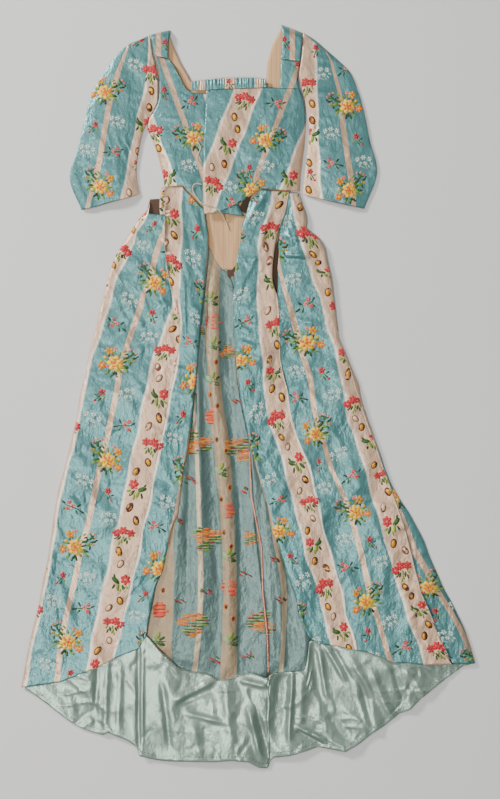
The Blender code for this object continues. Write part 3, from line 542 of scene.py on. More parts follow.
def remember(label, x, y, z, u, v, keep=None, hidden=()):
    """Store the upper surface for placing flowers on it."""
    rows, cols = x.shape
    ok = np.ones((rows - 1, cols - 1), bool) if keep is None else keep.copy()
    for lo, hi in hidden:
        ok[:, lo:hi] = False
    p = world(x, y, z)
    ids = np.arange(rows * cols).reshape(rows, cols)
    r, c = np.nonzero(ok)
    a, b, d, e = ids[r, c], ids[r, c + 1], ids[r + 1, c + 1], ids[r + 1, c]
    tris = np.concatenate([np.stack([a, e, d], 1), np.stack([a, d, b], 1)])
    flat = np.stack([u, v, np.zeros_like(u)], -1).reshape(-1, 3)
    tree = BVHTree.FromPolygons([tuple(q) for q in flat], [tuple(int(i) for i in t) for t in tris], all_triangles=True)
    FABRIC[label] = (tree, tris, flat, p.reshape(-1, 3))
    if hidden or keep is not None:
        ok = np.ones((rows - 1, cols - 1), bool) if keep is None else keep
        r, c = np.nonzero(ok)
        a, b, d, e = ids[r, c], ids[r, c + 1], ids[r + 1, c + 1], ids[r + 1, c]
        tris = np.concatenate([np.stack([a, e, d], 1), np.stack([a, d, b], 1)])
    plan = np.stack([x, -y, np.zeros_like(x)], -1).reshape(-1, 3)
    LAYER[label] = (BVHTree.FromPolygons([tuple(q) for q in plan], [tuple(int(i) for i in t) for t in tris], all_triangles=True), tris, p.reshape(-1, 3))


def v_from(x, y, column, anchors):
    """Woven height down the cloth from anchors (along cm, v cm) on one guide column."""
    a = np.array(anchors, float)
    yr = y[:, column]
    slope0 = (a[1, 1] - a[0, 1]) / (a[1, 0] - a[0, 0])
    slope1 = (a[-1, 1] - a[-2, 1]) / (a[-1, 0] - a[-2, 0])
    vr = np.interp(-yr, -a[:, 0], a[:, 1])
    vr = np.where(yr > a[0, 0], a[0, 1] + (yr - a[0, 0]) * slope0, vr)
    vr = np.where(yr < a[-1, 0], a[-1, 1] + (yr - a[-1, 0]) * slope1, vr)
    dx, dy = np.gradient(x[:, column]), np.gradient(y[:, column])
    k = np.hanning(33)
    k /= k.sum()
    dx = np.convolve(np.pad(dx, 16, mode="edge"), k, "valid")
    dy = np.convolve(np.pad(dy, 16, mode="edge"), k, "valid")
    n = np.hypot(dx, dy)
    dx, dy = (dx / n)[:, None], (dy / n)[:, None]
    return vr[:, None] + (x - x[:, column:column + 1]) * dx + (y - yr[:, None]) * dy


def hem_fit(x, y, levels, edge, start=0.86):
    e = np.array(edge, float)
    order = np.argsort(e[:, 0])
    target = np.interp(x[-1], e[order, 0], e[order, 1])
    return y + (target - y[-1])[None, :] * smoothstep(levels, start, 1.0)[:, None]


WALL = 1.0               # mm, visible cloth with its lining


def Y_(row):
    """Height on the table, cm, of a measured level of the layout (2.2 mm a step, counted down from 87.38 cm)."""
    return (397.2 - row) * 0.22


# ---------------------------------------------------------------- measured lines of the layout
# Left front of the skirt: guide, its path (across, along cm), woven place (along, u cm), rise (along, mm)
FRONT_LEFT = (
    ("inner",
     ((-9.54, 40.96), (-8.66, 34.58), (-9.05, 28.42), (-9.71, 22.26), (-10.59, 14.56), (-11.14, 6.86), (-11.76, 0.7), (-12.35, -5.46), (-13.3, -11.62), (-14.2, -16.15), (-15.21, -25.59), (-16.55, -28.27), (-17.92, -33.99), (-18.75, -38.02), (-20.27, -41.32), (-21.29, -46.38), (-22.34, -52.32)),
     ((40.96, 8.1), (34.58, 8.7), (25.12, 8.65), (14.56, 7.35), (4.88, 7.6), (-5.02, 8.5), (-11.62, 8.8), (-25.48, 9.5), (-33.99, 8.4), (-46.38, 8.1), (-52.1, 8.4)),
     ((40.96, 9.0), (34.58, 10), (25.78, 10), (8.18, 10), (-5.02, 9), (-44.62, 9), (-53.42, 8))),
    ("stripe_right",
     ((-14.42, 46.2), (-14.46, 39.86), (-14.33, 34.58), (-14.66, 29.74), (-14.95, 23.58), (-14.66, 18.08), (-14.62, 14.78), (-14.88, 11.48), (-15.32, 8.18), (-15.72, 4.88), (-16.95, -0.62), (-18.18, -7.66), (-19.83, -14.7), (-20.98, -21.74), (-22.8, -28.78), (-23.95, -35.6), (-25.71, -42.64), (-27.2, -49.02), (-28.61, -54.3), (-29.27, -57.38)),
     ((46.24, 3.05), (-66.62, 3.05)),
     ((46.24, 9), (39.86, 11), (32.38, 12), (19.18, 11), (7.08, 9), (-6.12, 8), (-18.22, 7), (-57.82, 6.5))),
    ("fold",
     ((-18.45, 46.02), (-18.18, 44.04), (-18.07, 42.28), (-18.18, 39.86), (-18.45, 36.56), (-18.45, 34.14), (-18.07, 30.51), (-17.7, 26.73), (-16.91, 23.58), (-15.98, 21.38), (-15.17, 19.62), (-14.95, 17.42), (-14.93, 14.78), (-15.08, 11.48), (-15.61, 8.18), (-16.29, 4.88), (-17.52, -0.62), (-18.75, -7.66), (-20.41, -14.7), (-21.55, -21.74), (-23.38, -28.78), (-24.52, -35.6), (-26.28, -42.64), (-27.77, -49.02), (-29.18, -54.3), (-29.84, -57.38)),
     ((46.02, -0.9), (39.86, -0.67), (34.14, -1.06), (30.51, -0.4), (26.73, 0.15), (23.58, 1.05), (21.38, 1.9), (19.62, 2.5), (17.42, 2.7), (14.78, 2.75), (11.48, 2.85), (8.18, 2.8), (4.88, 2.5), (-66.62, 2.5)),
     ((46.02, 9), (39.86, 12), (30.18, 12.5), (21.38, 11.5), (11.48, 9.5), (7.08, 8.8), (-6.12, 8), (-18.22, 7), (-57.82, 6.2))),
    ("under",
     ((-17.94, 40.13), (-18.16, 36.56), (-18.16, 34.14), (-17.79, 30.51), (-17.41, 26.73), (-16.62, 23.58), (-15.74, 21.38), (-14.97, 19.62), (-14.82, 17.42), (-14.84, 14.78), (-15.06, 11.48), (-15.68, 8.18), (-16.42, 4.88), (-17.66, -0.62), (-18.89, -7.66), (-20.54, -14.7), (-21.68, -21.74), (-23.51, -28.78), (-24.65, -35.6), (-26.41, -42.64), (-27.91, -49.02), (-29.32, -54.3), (-29.98, -57.38)),
     ((40.13, -9.6), (36.56, -9.1), (33.48, -8.0), (30.18, -6.55), (26.88, -5.2), (23.58, -2.9), (19.18, -1.3), (15.88, 0.03), (12.58, 1.2), (9.94, 2.1), (7.08, 2.4), (4.88, 2.38), (-66.62, 2.38)),
     ((40.13, 5), (30.18, 6), (21.38, 7), (14.78, 7.4), (9.94, 8.4), (7.08, 8.7), (-6.12, 8), (-18.22, 7), (-57.82, 6.2))),
    ("narrow",
     ((-19.72, 40.08), (-19.66, 37.22), (-19.72, 34.58), (-20.71, 31.06), (-21.11, 28.49), (-21.97, 25.12), (-23.24, 22.48), (-24.08, 19.54), (-25.02, 16.63), (-26.02, 13.9), (-27.16, 10.05), (-28.55, 4.66), (-29.34, -0.46), (-30.39, -5.02), (-31.1, -8.69), (-32.15, -12.19), (-33.19, -17.45), (-34.24, -23.06), (-35.48, -28.69), (-36.71, -32.19), (-37.76, -37.44), (-39.15, -43.74), (-40.56, -49.68), (-41.61, -55.99), (-42.14, -62.88)),
     ((40.08, -11.1), (37.22, -10.5), (34.58, -9.5), (31.06, -9.3), (-66.62, -9.3)),
     ((40.08, 5), (30.18, 5.5), (14.78, 6.2), (4.88, 7), (-7.22, 7), (-27.02, 6), (-63.32, 5))),
    ("second",
     ((-21.9, 40.39), (-22.74, 38.54), (-24.52, 36.41), (-24.76, 34.06), (-26.43, 30.51), (-27.42, 29.0), (-28.68, 26.44), (-29.29, 23.96), (-30.06, 21.43), (-30.7, 18.9), (-31.45, 16.37), (-32.09, 13.84), (-33.96, 9.72), (-34.68, 5.54), (-36.05, 0.26), (-36.77, -5.02), (-37.45, -7.66), (-38.49, -12.19), (-39.9, -17.45), (-40.78, -20.26), (-41.48, -24.46), (-42.36, -30.43), (-43.06, -35.68), (-44.12, -40.22), (-45.16, -46.22), (-46.56, -51.79), (-47.64, -57.05), (-48.65, -63.62)),
     ((40.52, -15.15), (-66.62, -15.15)),
     ((40.52, 5), (25.78, 5.3), (3.78, 6.2), (-11.62, 5.8), (-35.82, 5.6), (-64.42, 4.9))),
    ("side",
     ((-21.48, 43.1), (-21.97, 41.27), (-24.08, 39.2), (-26.52, 35.31), (-28.98, 31.5), (-30.04, 29.0), (-31.1, 25.12), (-32.15, 20.94), (-33.54, 15.31), (-34.95, 9.72), (-35.67, 5.54), (-37.06, 0.26), (-37.76, -5.02), (-38.47, -7.66), (-39.5, -12.19), (-40.91, -17.45), (-41.79, -20.26), (-42.49, -24.46), (-43.37, -30.43), (-44.08, -35.68), (-45.13, -40.22), (-46.17, -46.22), (-47.58, -51.79), (-48.65, -57.05), (-49.86, -63.76)),
     ((43.16, -16.2), (39.2, -17.3), (34.14, -17.9), (29.08, -17.75), (25.12, -17.4), (20.94, -17.1), (15.31, -17.0), (9.72, -16.2), (-66.62, -16.2)),
     ((43.16, 4.6), (-64.42, 4.6))),
)

# Right front of the skirt, same columns
FRONT_RIGHT = (
    ("inner",
     ((3.05, 45.58), (0.41, 43.38), (-0.47, 40.08), (-1.35, 37.99), (-1.62, 34.89), (-2.45, 30.4), (-2.81, 28.42), (-3.27, 22.26), (-3.27, 16.1), (-2.81, 11.48), (-2.5, 5.32), (-1.73, -0.31), (-0.65, -5.54), (0.41, -10.52), (1.95, -16.15), (3.27, -20.53), (4.32, -24.16), (5.33, -29.66), (6.68, -32.96), (7.67, -36.04), (9.36, -41.32), (10.2, -43.08), (10.75, -46.38), (11.41, -49.02), (13.39, -52.65)),
     ((45.58, -5.25), (40.08, -7.55), (34.58, -7.1), (28.42, -8.0), (22.26, -8.25), (11.48, -8.6), (5.32, -8.75), (-0.62, -8.4), (-5.46, -8.2), (-10.52, -8.8), (-20.42, -8.7), (-29.66, -9.0), (-36.04, -8.2), (-43.08, -8.2), (-49.02, -8.2), (-53.42, -8.0)),
     ((45.58, 9), (40.08, 10), (30.18, 10), (3.78, 10), (-7.22, 9), (-44.62, 9), (-53.42, 8))),
    ("stripe_left",
     ((5.25, 45.21), (5.16, 42.72), (4.08, 40.3), (3.05, 37.66), (2.21, 34.58), (2.06, 32.38), (2.17, 29.3), (1.86, 25.34), (1.95, 22.26), (1.95, 18.74), (2.17, 15.22), (2.69, 11.92), (3.05, 8.4), (3.22, 4.88), (3.55, 1.36), (3.71, -2.16), (4.26, -5.02), (5.47, -7.66), (7.6, -14.7), (9.36, -21.74), (11.27, -28.78), (12.68, -35.6), (15.32, -42.64), (16.36, -47.26), (17.06, -51.22), (18.29, -54.52)),
     ((45.58, -3.05), (-66.62, -3.05)),
     ((45.58, 10), (40.08, 12), (23.58, 12), (14.78, 11), (4.88, 10), (-2.82, 9), (-9.42, 8.5), (-18.22, 7.5), (-55.62, 6.5))),
    ("slit_front",
     ((8.9, 45.03), (8.02, 40.52), (6.92, 37.66), (6.02, 33.92), (5.69, 31.61), (5.36, 28.64), (5.29, 26.0), (5.69, 24.24), (6.3, 22.48), (6.7, 19.62), (6.85, 16.1), (7.05, 11.92), (7.07, 8.4), (7.78, 4.88), (8.66, 1.36), (8.99, -2.16), (9.54, -5.02), (10.22, -7.66), (13.39, -14.7), (15.15, -21.74), (16.53, -28.78), (18.67, -35.6), (20.76, -42.64), (21.46, -47.26), (22.85, -51.22), (23.9, -55.62)),
     ((45.14, 0.47), (42.72, 0.1), (40.3, 0.65), (37.66, 0.9), (32.38, 0.7), (29.3, 0.2), (25.34, 0.3), (22.26, 1.1), (18.74, 1.7), (15.22, 1.7), (9.72, 1.6), (4.88, 1.9), (1.36, 2.3), (-5.02, 2.6), (-14.7, 3.0), (-66.62, 3.05)),
     ((45.14, 9), (40.08, 12), (23.58, 12), (14.78, 10.5), (4.88, 9), (-2.82, 8), (-18.22, 7), (-55.62, 6.2))),
    ("slit_back",
     ((9.12, 44.88), (8.41, 40.52), (7.45, 38.1), (6.85, 36.34), (6.7, 33.7), (6.79, 31.61), (6.48, 28.64), (6.57, 26.0), (6.52, 24.02), (6.39, 22.26), (6.52, 19.62), (6.61, 16.1), (6.79, 11.92), (6.83, 8.4), (7.67, 4.88), (8.68, 1.36), (9.12, -2.16), (9.67, -5.02), (10.35, -7.66), (13.52, -14.7), (15.28, -21.74), (16.66, -28.78), (18.8, -35.6), (20.89, -42.64), (21.59, -47.26), (22.98, -51.22), (24.03, -55.62)),
     ((44.92, 14.9), (40.52, 13.4), (37.66, 11.8), (34.58, 10.4), (31.72, 9.6), (28.64, 8.9), (26.88, 7.9), (23.58, 6.9), (18.74, 6.5), (15.31, 6.0), (9.72, 4.3), (5.1, 3.3), (1.36, 3.1), (-5.02, 3.05), (-14.7, 3.1), (-66.62, 3.15)),
     ((44.92, 7), (40.08, 8), (32.38, 7.6), (23.58, 7.4), (14.78, 7.4), (4.88, 8.4), (-2.82, 8), (-18.22, 7), (-55.62, 6.2))),
    ("narrow",
     ((9.21, 44.84), (8.85, 40.52), (8.55, 37.66), (8.0, 34.58), (7.12, 31.06), (6.72, 28.64), (7.23, 26.66), (8.11, 23.58), (8.83, 21.6), (9.71, 18.74), (10.72, 15.22), (11.98, 9.72), (13.61, 5.1), (14.18, 1.36), (14.38, -1.28), (15.15, -5.02), (16.69, -9.75), (18.29, -15.71), (20.43, -20.2), (22.19, -24.16), (23.55, -28.69), (24.96, -33.95), (26.15, -39.2), (27.03, -43.74), (28.35, -47.48), (29.89, -52.54), (31.43, -57.6)),
     ((44.92, 15.0), (40.52, 13.9), (37.66, 13.2), (34.58, 11.7), (31.06, 10.0), (28.64, 9.3), (-66.62, 9.3)),
     ((44.92, 7.5), (40.08, 8), (32.38, 8), (23.58, 7.8), (4.88, 8), (-9.42, 8), (-27.02, 7), (-57.82, 6))),
    ("second_left",
     ((9.38, 44.81), (9.6, 42.06), (9.78, 39.86), (10.44, 37.22), (11.32, 34.58), (12.11, 32.38), (12.95, 28.86), (14.18, 25.56), (15.41, 22.26), (16.38, 18.74), (17.26, 15.22), (18.36, 11.92), (19.37, 8.4), (19.94, 5.76), (20.43, 2.68), (21.09, -0.4), (21.75, -5.02), (22.85, -8.1), (25.27, -14.7), (27.03, -21.74), (29.16, -28.78), (31.03, -35.6), (33.1, -42.64), (34.51, -47.26), (35.83, -50.78), (37.23, -54.3), (38.64, -58.7)),
     ((44.92, 15.15), (-66.62, 15.15)),
     ((44.92, 8), (40.08, 12), (34.58, 11.5), (23.58, 12.5), (14.78, 11), (4.88, 10), (-7.22, 9), (-27.02, 9), (-40.22, 8), (-57.82, 6))),
    ("second_right",
     ((11.19, 44.77), (12.07, 41.91), (12.79, 40.08), (13.03, 38.21), (12.57, 36.83), (13.65, 36.28), (15.15, 35.68), (15.81, 34.36), (16.91, 32.82), (17.57, 29.3), (18.29, 26.44), (18.82, 22.26), (19.33, 18.08), (19.94, 12.8), (21.24, 9.72), (22.54, 6.2), (23.51, 2.68), (24.61, -0.62), (25.93, -4.8), (27.25, -8.32), (29.45, -14.7), (30.9, -18.66), (32.2, -22.18), (34.44, -28.78), (36.18, -35.6), (37.94, -42.64), (40.01, -47.26), (41.44, -50.78), (42.87, -54.3), (44.96, -58.7)),
     ((44.7, 17.0), (41.91, 17.6), (39.86, 18.2), (38.32, 18.4), (36.78, 17.4), (35.9, 18.6), (34.58, 19.6), (29.3, 19.85), (22.26, 18.45), (15.22, 17.3), (11.92, 16.9), (8.4, 17.4), (2.68, 18.2), (-5.02, 19.3), (-14.7, 19.3), (-21.74, 20.2), (-28.78, 20.4), (-42.64, 20.2), (-47.26, 20.9), (-66.62, 21.0)),
     ((44.7, 6.5), (40.08, 8), (36.78, 7), (34.58, 8.5), (29.3, 9), (14.78, 8), (4.88, 7.5), (-9.42, 7.5), (-22.62, 8.5), (-35.82, 9.3), (-49.02, 9), (-58.7, 6))),
    ("under",
     ((10.92, 44.77), (11.8, 41.91), (12.53, 40.08), (12.77, 38.21), (12.31, 36.83), (13.39, 36.28), (14.88, 35.68), (15.54, 34.36), (16.64, 32.82), (17.3, 29.3), (18.03, 26.44), (18.56, 22.26), (19.06, 18.08), (19.68, 12.8), (20.98, 9.72), (22.28, 6.2), (23.24, 2.68), (24.34, -0.62), (25.66, -4.8), (26.98, -8.32), (29.18, -14.7), (30.64, -18.66), (31.93, -22.18), (34.18, -28.78), (35.92, -35.6), (37.68, -42.64), (39.74, -47.26), (41.17, -50.78), (42.6, -54.3), (44.69, -58.7)),
     ((44.7, 26), (11.92, 27.0), (-5.02, 27.2), (-22.62, 27.3), (-27.46, 26.9), (-33.18, 27.0), (-40.22, 24.4), (-47.26, 23.1), (-54.3, 21.9), (-58.7, 21.6)),
     ((44.7, 3.5), (12.58, 4.0), (-18.22, 4.8), (-35.82, 5.4), (-49.02, 5.4), (-58.7, 4.8))),
    ("side",
     ((11.1, 44.62), (11.98, 41.91), (12.7, 40.08), (12.95, 38.21), (12.48, 36.7), (13.56, 36.15), (15.06, 35.55), (15.72, 34.23), (16.82, 32.69), (17.48, 29.3), (18.2, 26.44), (18.73, 22.26), (19.24, 18.08), (19.96, 12.8), (21.46, 9.72), (22.85, 6.2), (24.43, 2.68), (24.96, -0.62), (26.37, -4.8), (27.77, -8.76), (29.16, -12.72), (30.22, -16.02), (31.65, -19.54), (33.74, -23.06), (35.47, -25.48), (37.23, -28.78), (38.64, -31.42), (40.05, -35.38), (41.44, -38.46), (43.2, -42.42), (44.96, -45.5), (46.17, -48.14), (47.4, -50.78), (48.81, -54.96), (49.86, -58.54)),
     ((44.7, 26.3), (11.92, 27.3), (-5.02, 27.6), (-22.62, 28.8), (-27.46, 29.4), (-33.18, 29.0), (-40.22, 29.0), (-47.26, 28.4), (-54.3, 27.7), (-58.7, 26.4)),
     ((44.7, 3.4), (12.58, 3.8), (-18.22, 4.6), (-58.7, 4.6))),
)

HEM_LEFT = ((-49.86, -63.8), (-41.39, -62.66), (-33.54, -59.58), (-29.34, -57.38), (-24.08, -55.31), (-22.34, -52.32))

HEM_RIGHT = ((13.39, -52.65), (15.81, -54.25), (18.67, -54.6), (23.2, -55.48), (26.37, -55.99), (29.51, -57.05), (31.98, -58.48), (34.44, -58.26), (38.99, -58.81), (49.86, -58.54))

TRAIN_EDGE = ((-49.53, -63.98), (-47.58, -64.94), (-42.32, -68.82), (-39.5, -71.02), (-37.06, -72.49), (-34.24, -73.66), (-31.8, -74.25), (-30.75, -73.72), (-28.63, -74.6), (-26.52, -75.42), (-24.45, -76.87), (-23.9, -78.8), (-20.38, -79.75), (-17.41, -80.04), (-8.04, -80.17), (-3.55, -79.88), (0.1, -80.17), (2.61, -81.58), (4.41, -81.62), (4.74, -80.17), (5.58, -79.27), (9.21, -78.78), (13.3, -77.62), (15.37, -76.82), (18.23, -77.4), (21.46, -77.92), (24.96, -75.81), (27.77, -73.55), (30.22, -72.12), (33.41, -69.48), (35.47, -68.82), (37.59, -66.53), (42.49, -62.66), (47.4, -59.14), (49.58, -58.7))

FACING_EDGE = ((-22.34, -52.1), (-19.26, -55.75), (-17.57, -57.16), (-15.32, -59.36), (-12.57, -60.24), (-10.29, -60.52), (-8.61, -60.81), (-6.63, -62.0), (-4.65, -61.93), (-2.15, -61.07), (0.94, -60.52), (4.04, -61.64), (5.69, -60.52), (10.2, -60.24), (12.73, -59.8), (13.5, -53.42), (18.67, -53.75), (26.37, -55.18), (34.44, -57.16), (49.69, -57.82))



# ---------------------------------------------------------------- left front of the skirt
x, y, z, u, at, levels = guide_grid(FRONT_LEFT, 270, 0.42)
y = hem_fit(x, y, levels, HEM_LEFT)
v = v_from(x, y, at[4], ((Y_(281), -20), (Y_(364.5), 0), (Y_(459), 20), (Y_(548), 40), (Y_(640.6), 60)))
z = z + 1.5 + 1.5 * np.clip((-44.0 - y) / 8.0, 0, 1)
front = np.arange(x.shape[1])[None, :] <= at[2]
away = np.clip(edge_distance(x, y, x.shape[1] - 1) / 2.5, 0, 1) * np.clip(edge_distance(x, y, 0) / 1.5, 0.25, 1)
z += 2.6 * creases(x, y, (
    (-12.9, 42.5, -10.4, 35.5, 0.5, 1.2), (-11.4, 41.5, -9.6, 33.5, 0.45, 1.0), (-13.6, 37.0, -11.8, 26.0, 0.8, -0.9),
    (-12.8, 20.0, -9.9, 18.2, 0.7, 1.3), (-13.0, 13.2, -11.0, 11.0, 0.6, 0.9), (-14.2, 27.0, -13.6, 12.0, 0.35, 0.9),
    (-22.5, 31.5, -20.3, 26.5, 0.45, 1.3), (-24.3, 29.6, -21.5, 24.6, 0.5, 1.2), (-20.3, 27.4, -17.7, 24.4, 0.35, 1.4),
    (-20.6, 22.4, -17.2, 20.0, 0.5, 1.5), (-27.8, 22.2, -23.0, 15.2, 0.6, 1.4), (-30.5, 24.5, -27.5, 17.5, 0.5, 1.0),
    (-23.5, 14.8, -20.8, 11.0, 0.45, -1.1), (-31.5, 10.0, -27.5, 3.5, 0.7, 1.1), (-26.5, 5.0, -22.5, -1.0, 0.8, 1.0),
    (-34.0, 1.0, -30.5, -7.5, 0.8, 1.1), (-21.5, -6.5, -16.8, -9.5, 0.6, 1.2), (-27.0, -12.0, -24.0, -21.0, 0.8, 1.0),
    (-38.0, -20.0, -34.0, -29.0, 0.8, 1.1), (-20.8, -22.0, -17.4, -24.5, 0.5, 1.2), (-30.0, -31.0, -26.5, -40.0, 0.8, 1.0),
    (-16.9, 24.4, -15.6, 15.5, 0.35, -1.1), (-17.2, 7.7, -13.0, 6.8, 0.35, -0.9), (-17.0, 6.9, -13.2, 5.8, 0.35, 0.8), (-13.2, 2.0, -11.6, -3.0, 0.4, 0.8), (-16.1, 23.0, -14.9, 12.0, 0.3, 0.7), (-42.0, -38.0, -38.5, -50.0, 0.9, 1.0), (-24.5, -40.0, -21.5, -46.0, 0.6, 1.1), (-36.0, -46.0, -33.5, -57.0, 0.8, 0.9)))
z += crumple(11, x, y, 4.0) * away
z = roll(x, y, z, 0, 1, 0.45, 1.3)
z = roll(x, y, z, at[2], -1, 0.4, 1.2 + 0.0 * y)
fade = (1 - smoothstep(-y, -Y_(345), -Y_(385)))
z = np.where(front, z, z)
base = 1.5 + 3.2 * np.clip((-46 - y) / 5, 0, 1)
z = roll(x, y, z, x.shape[1] - 1, -1, 0.8, np.maximum(z[:, -1:] - base[:, -1:], 0) + 0.0 * y)
z = np.maximum(z, base + 0.1 + 1.8 * smoothstep(edge_distance(x, y, x.shape[1] - 1), 0.3, 1.6))
left_front_skirt = shell_arrays(x, y, z, u, v, WALL)
remember("front_left", x, y, z, u, v, hidden=((at[2], at[3]),))
piece = mesh_from("skirt_left_front", left_front_skirt[0], left_front_skirt[1], left_front_skirt[2], [MAT["silk_brocade"]])
finish_piece(piece, ["skirt_front_left"])

# ---------------------------------------------------------------- right front of the skirt
x, y, z, u, at, levels = guide_grid(FRONT_RIGHT, 270, 0.42)
y = hem_fit(x, y, levels, HEM_RIGHT)
v = v_from(x, y, at[4], ((Y_(256), 0), (Y_(344.7), 20), (Y_(432.6), 40), (Y_(513.3), 60), (Y_(599.3), 80)))
z = z + 1.5 + 1.5 * np.clip((-44.0 - y) / 8.0, 0, 1)
away = np.clip(edge_distance(x, y, x.shape[1] - 1) / 2.5, 0, 1) * np.clip(edge_distance(x, y, 0) / 1.5, 0.25, 1)
z += 2.6 * creases(x, y, (
    (7.0, 2.4, 13.4, 4.4, 0.35, -1.2), (7.4, 1.5, 13.6, 3.5, 0.35, 0.9), (-2.2, 9.8, 2.6, 8.6, 0.3, 0.8), (-1.8, 7.6, 3.0, 6.8, 0.3, 0.7), (-1.6, 12.8, 2.6, 12.0, 0.3, -0.7),
    (3.4, 44.2, -0.4, 38.0, 0.4, 1.3), (2.2, 43.6, -1.2, 36.5, 0.35, 1.0), (4.6, 43.8, 1.2, 35.0, 0.5, -1.2), (5.2, 42.0, 2.4, 32.0, 0.4, 1.0),
    (2.6, 33.0, -0.6, 25.5, 0.6, 0.9), (0.8, 27.0, -1.6, 21.5, 0.6, -0.8), (-2.0, 15.6, 0.8, 14.2, 0.4, 1.2), (-1.8, 12.4, 1.8, 10.8, 0.5, 1.1),
    (7.2, 38.6, 11.2, 37.6, 0.35, -2.2), (7.2, 35.6, 12.0, 34.6, 0.5, 1.8), (7.4, 31.3, 13.2, 31.0, 0.32, 2.6), (7.2, 30.2, 13.2, 29.9, 0.25, -1.2),
    (8.6, 37.2, 9.6, 33.0, 0.4, 1.3), (10.6, 36.6, 11.6, 32.0, 0.4, -1.1), (8.2, 26.6, 13.0, 25.4, 0.7, 0.9), (9.8, 21.0, 14.6, 19.2, 0.6, 1.0), (10.6, 17.0, 16.0, 15.8, 0.6, 1.1),
    (5.2, 8.8, 3.2, 4.2, 0.5, 1.2), (3.0, 1.0, 0.4, -4.5, 0.7, 1.1), (12.8, 2.0, 17.2, -3.5, 0.8, 1.1), (6.0, -6.0, 3.4, -12.5, 0.7, 1.0),
    (17.5, -5.5, 21.0, -12.0, 0.8, 1.1), (9.0, -17.0, 6.0, -24.0, 0.8, 1.1), (22.0, -13.0, 25.5, -21.0, 0.7, 1.0), (14.5, -25.0, 18.0, -33.0, 0.8, 1.0),
    (27.0, -25.0, 30.0, -34.0, 0.8, 1.0), (11.0, -36.0, 14.5, -44.0, 0.8, 1.0), (22.0, -38.0, 25.0, -49.0, 0.9, 1.0), (33.0, -40.0, 36.5, -50.0, 0.8, 1.1), (16.0, -47.0, 19.0, -53.0, 0.7, 0.8)))
z += crumple(31, x, y, 4.0, -0.35) * away
z = roll(x, y, z, 0, 1, 0.45, 1.3)
z = roll(x, y, z, at[2], -1, 0.4, 1.3)
z = roll(x, y, z, at[6], -1, 0.55, 1.6)
base = 1.5 + 3.2 * np.clip((-46 - y) / 5, 0, 1)
z = roll(x, y, z, x.shape[1] - 1, -1, 0.7, np.maximum(z[:, -1:] - base[:, -1:], 0) + 0.0 * y)
z = np.maximum(z, base + 0.1 + 1.8 * smoothstep(edge_distance(x, y, x.shape[1] - 1), 0.3, 1.6))
keep = np.ones((x.shape[0] - 1, x.shape[1] - 1), bool)
mid_y = (y[1:, at[2]] + y[:-1, at[2]]) / 2
keep[:, at[2]:at[3]] = ~((mid_y < Y_(229)) & (mid_y > Y_(293)))[:, None]
right_front_skirt = shell_arrays(x, y, z, u, v, WALL, keep)
remember("front_right", x, y, z, u, v, keep, hidden=((at[2], at[3]), (at[6], at[7])))
piece = mesh_from("skirt_right_front", right_front_skirt[0], right_front_skirt[1], right_front_skirt[2], [MAT["silk_brocade"]])
finish_piece(piece, ["skirt_front_right"])


# ---------------------------------------------------------------- tables shared with the CAD (across cm, along cm, rise mm)
# Skirt back, left width.
#   side | c1 | c2 | c3 | pale ridge | valley 1 | stripe ridge | valley 2 | seam
SKIRT_BACK_LEFT = (
    ("waist", (-20.1, 43.0, 0), (-19.8, 43.4, 0), (-19.6, 43.9, 0), (-18.1, 45.0, 0), (-11.9, 39.3, 0), (-8.9, 34.0, 0), (-7.1, 30.3, 0), (-5.5, 28.0, 0), (-4.2, 27.3, 0)),
    ("hip",   (-31.6, 21.4, 0), (-28.4, 21.4, 0), (-24.9, 21.4, 0), (-18.3, 21.4, 0), (-11.9, 21.4, 0), (-10.2, 21.4, 0), (-8.0, 21.4, 5), (-5.5, 21.4, 0), (-2.7, 21.4, 3)),
    ("thigh", (-35.5, 3.8, 0), (-32.2, 3.8, 0), (-28.2, 3.8, 0), (-20.5, 3.8, 0), (-12.1, 3.8, 0), (-9.6, 3.8, 0), (-7.5, 3.8, 6), (-5.3, 3.8, 0), (-2.2, 3.8, 4)),
    ("knee",  (-38.9, -11.6, 0), (-35.0, -11.6, 0), (-30.8, -11.6, 0), (-22.0, -11.6, 0), (-11.3, -11.6, 3), (-8.4, -11.6, 0), (-6.0, -11.6, 8), (-2.9, -11.6, 0), (0.4, -11.6, 4)),
    ("calf",  (-42.1, -27.0, 0), (-37.7, -27.0, 0), (-33.0, -27.0, 0), (-23.1, -27.0, 0), (-10.7, -27.0, 5), (-6.7, -27.0, 0), (-4.8, -27.0, 8), (-2.2, -27.0, 0), (1.5, -27.0, 4)),
    ("shin",  (-44.9, -42.4, 0), (-39.6, -42.4, 0), (-34.1, -42.4, 0), (-23.8, -42.4, 0), (-10.4, -42.4, 5), (-6.2, -42.4, 0), (-4.2, -42.4, 7), (-1.4, -42.4, 0), (3.3, -42.4, 4)),
    ("ankle", (-47.0, -53.4, 0), (-40.1, -54.1, 0), (-32.4, -54.5, 0), (-23.8, -54.5, 0), (-11.0, -53.4, 4), (-6.6, -53.4, 0), (-4.2, -53.4, 6), (-1.6, -53.4, 0), (4.4, -53.4, 3)),
    ("train", (-49.0, -62.0, 0), (-40.1, -64.4, 0), (-31.3, -65.7, 0), (-23.4, -66.6, 0), (-12.8, -66.6, 2), (-7.5, -66.6, 0), (-4.2, -66.6, 3), (-1.4, -66.6, 0), (4.4, -66.6, 2)),
    ("hem",   (-49.5, -64.6, 0), (-39.3, -71.1, 0), (-31.5, -74.3, 0), (-23.8, -77.8, 0), (-15.0, -79.9, 0), (-8.0, -80.1, 0), (-4.0, -80.1, 0), (-0.9, -80.3, 0), (4.5, -81.8, 0)),
)

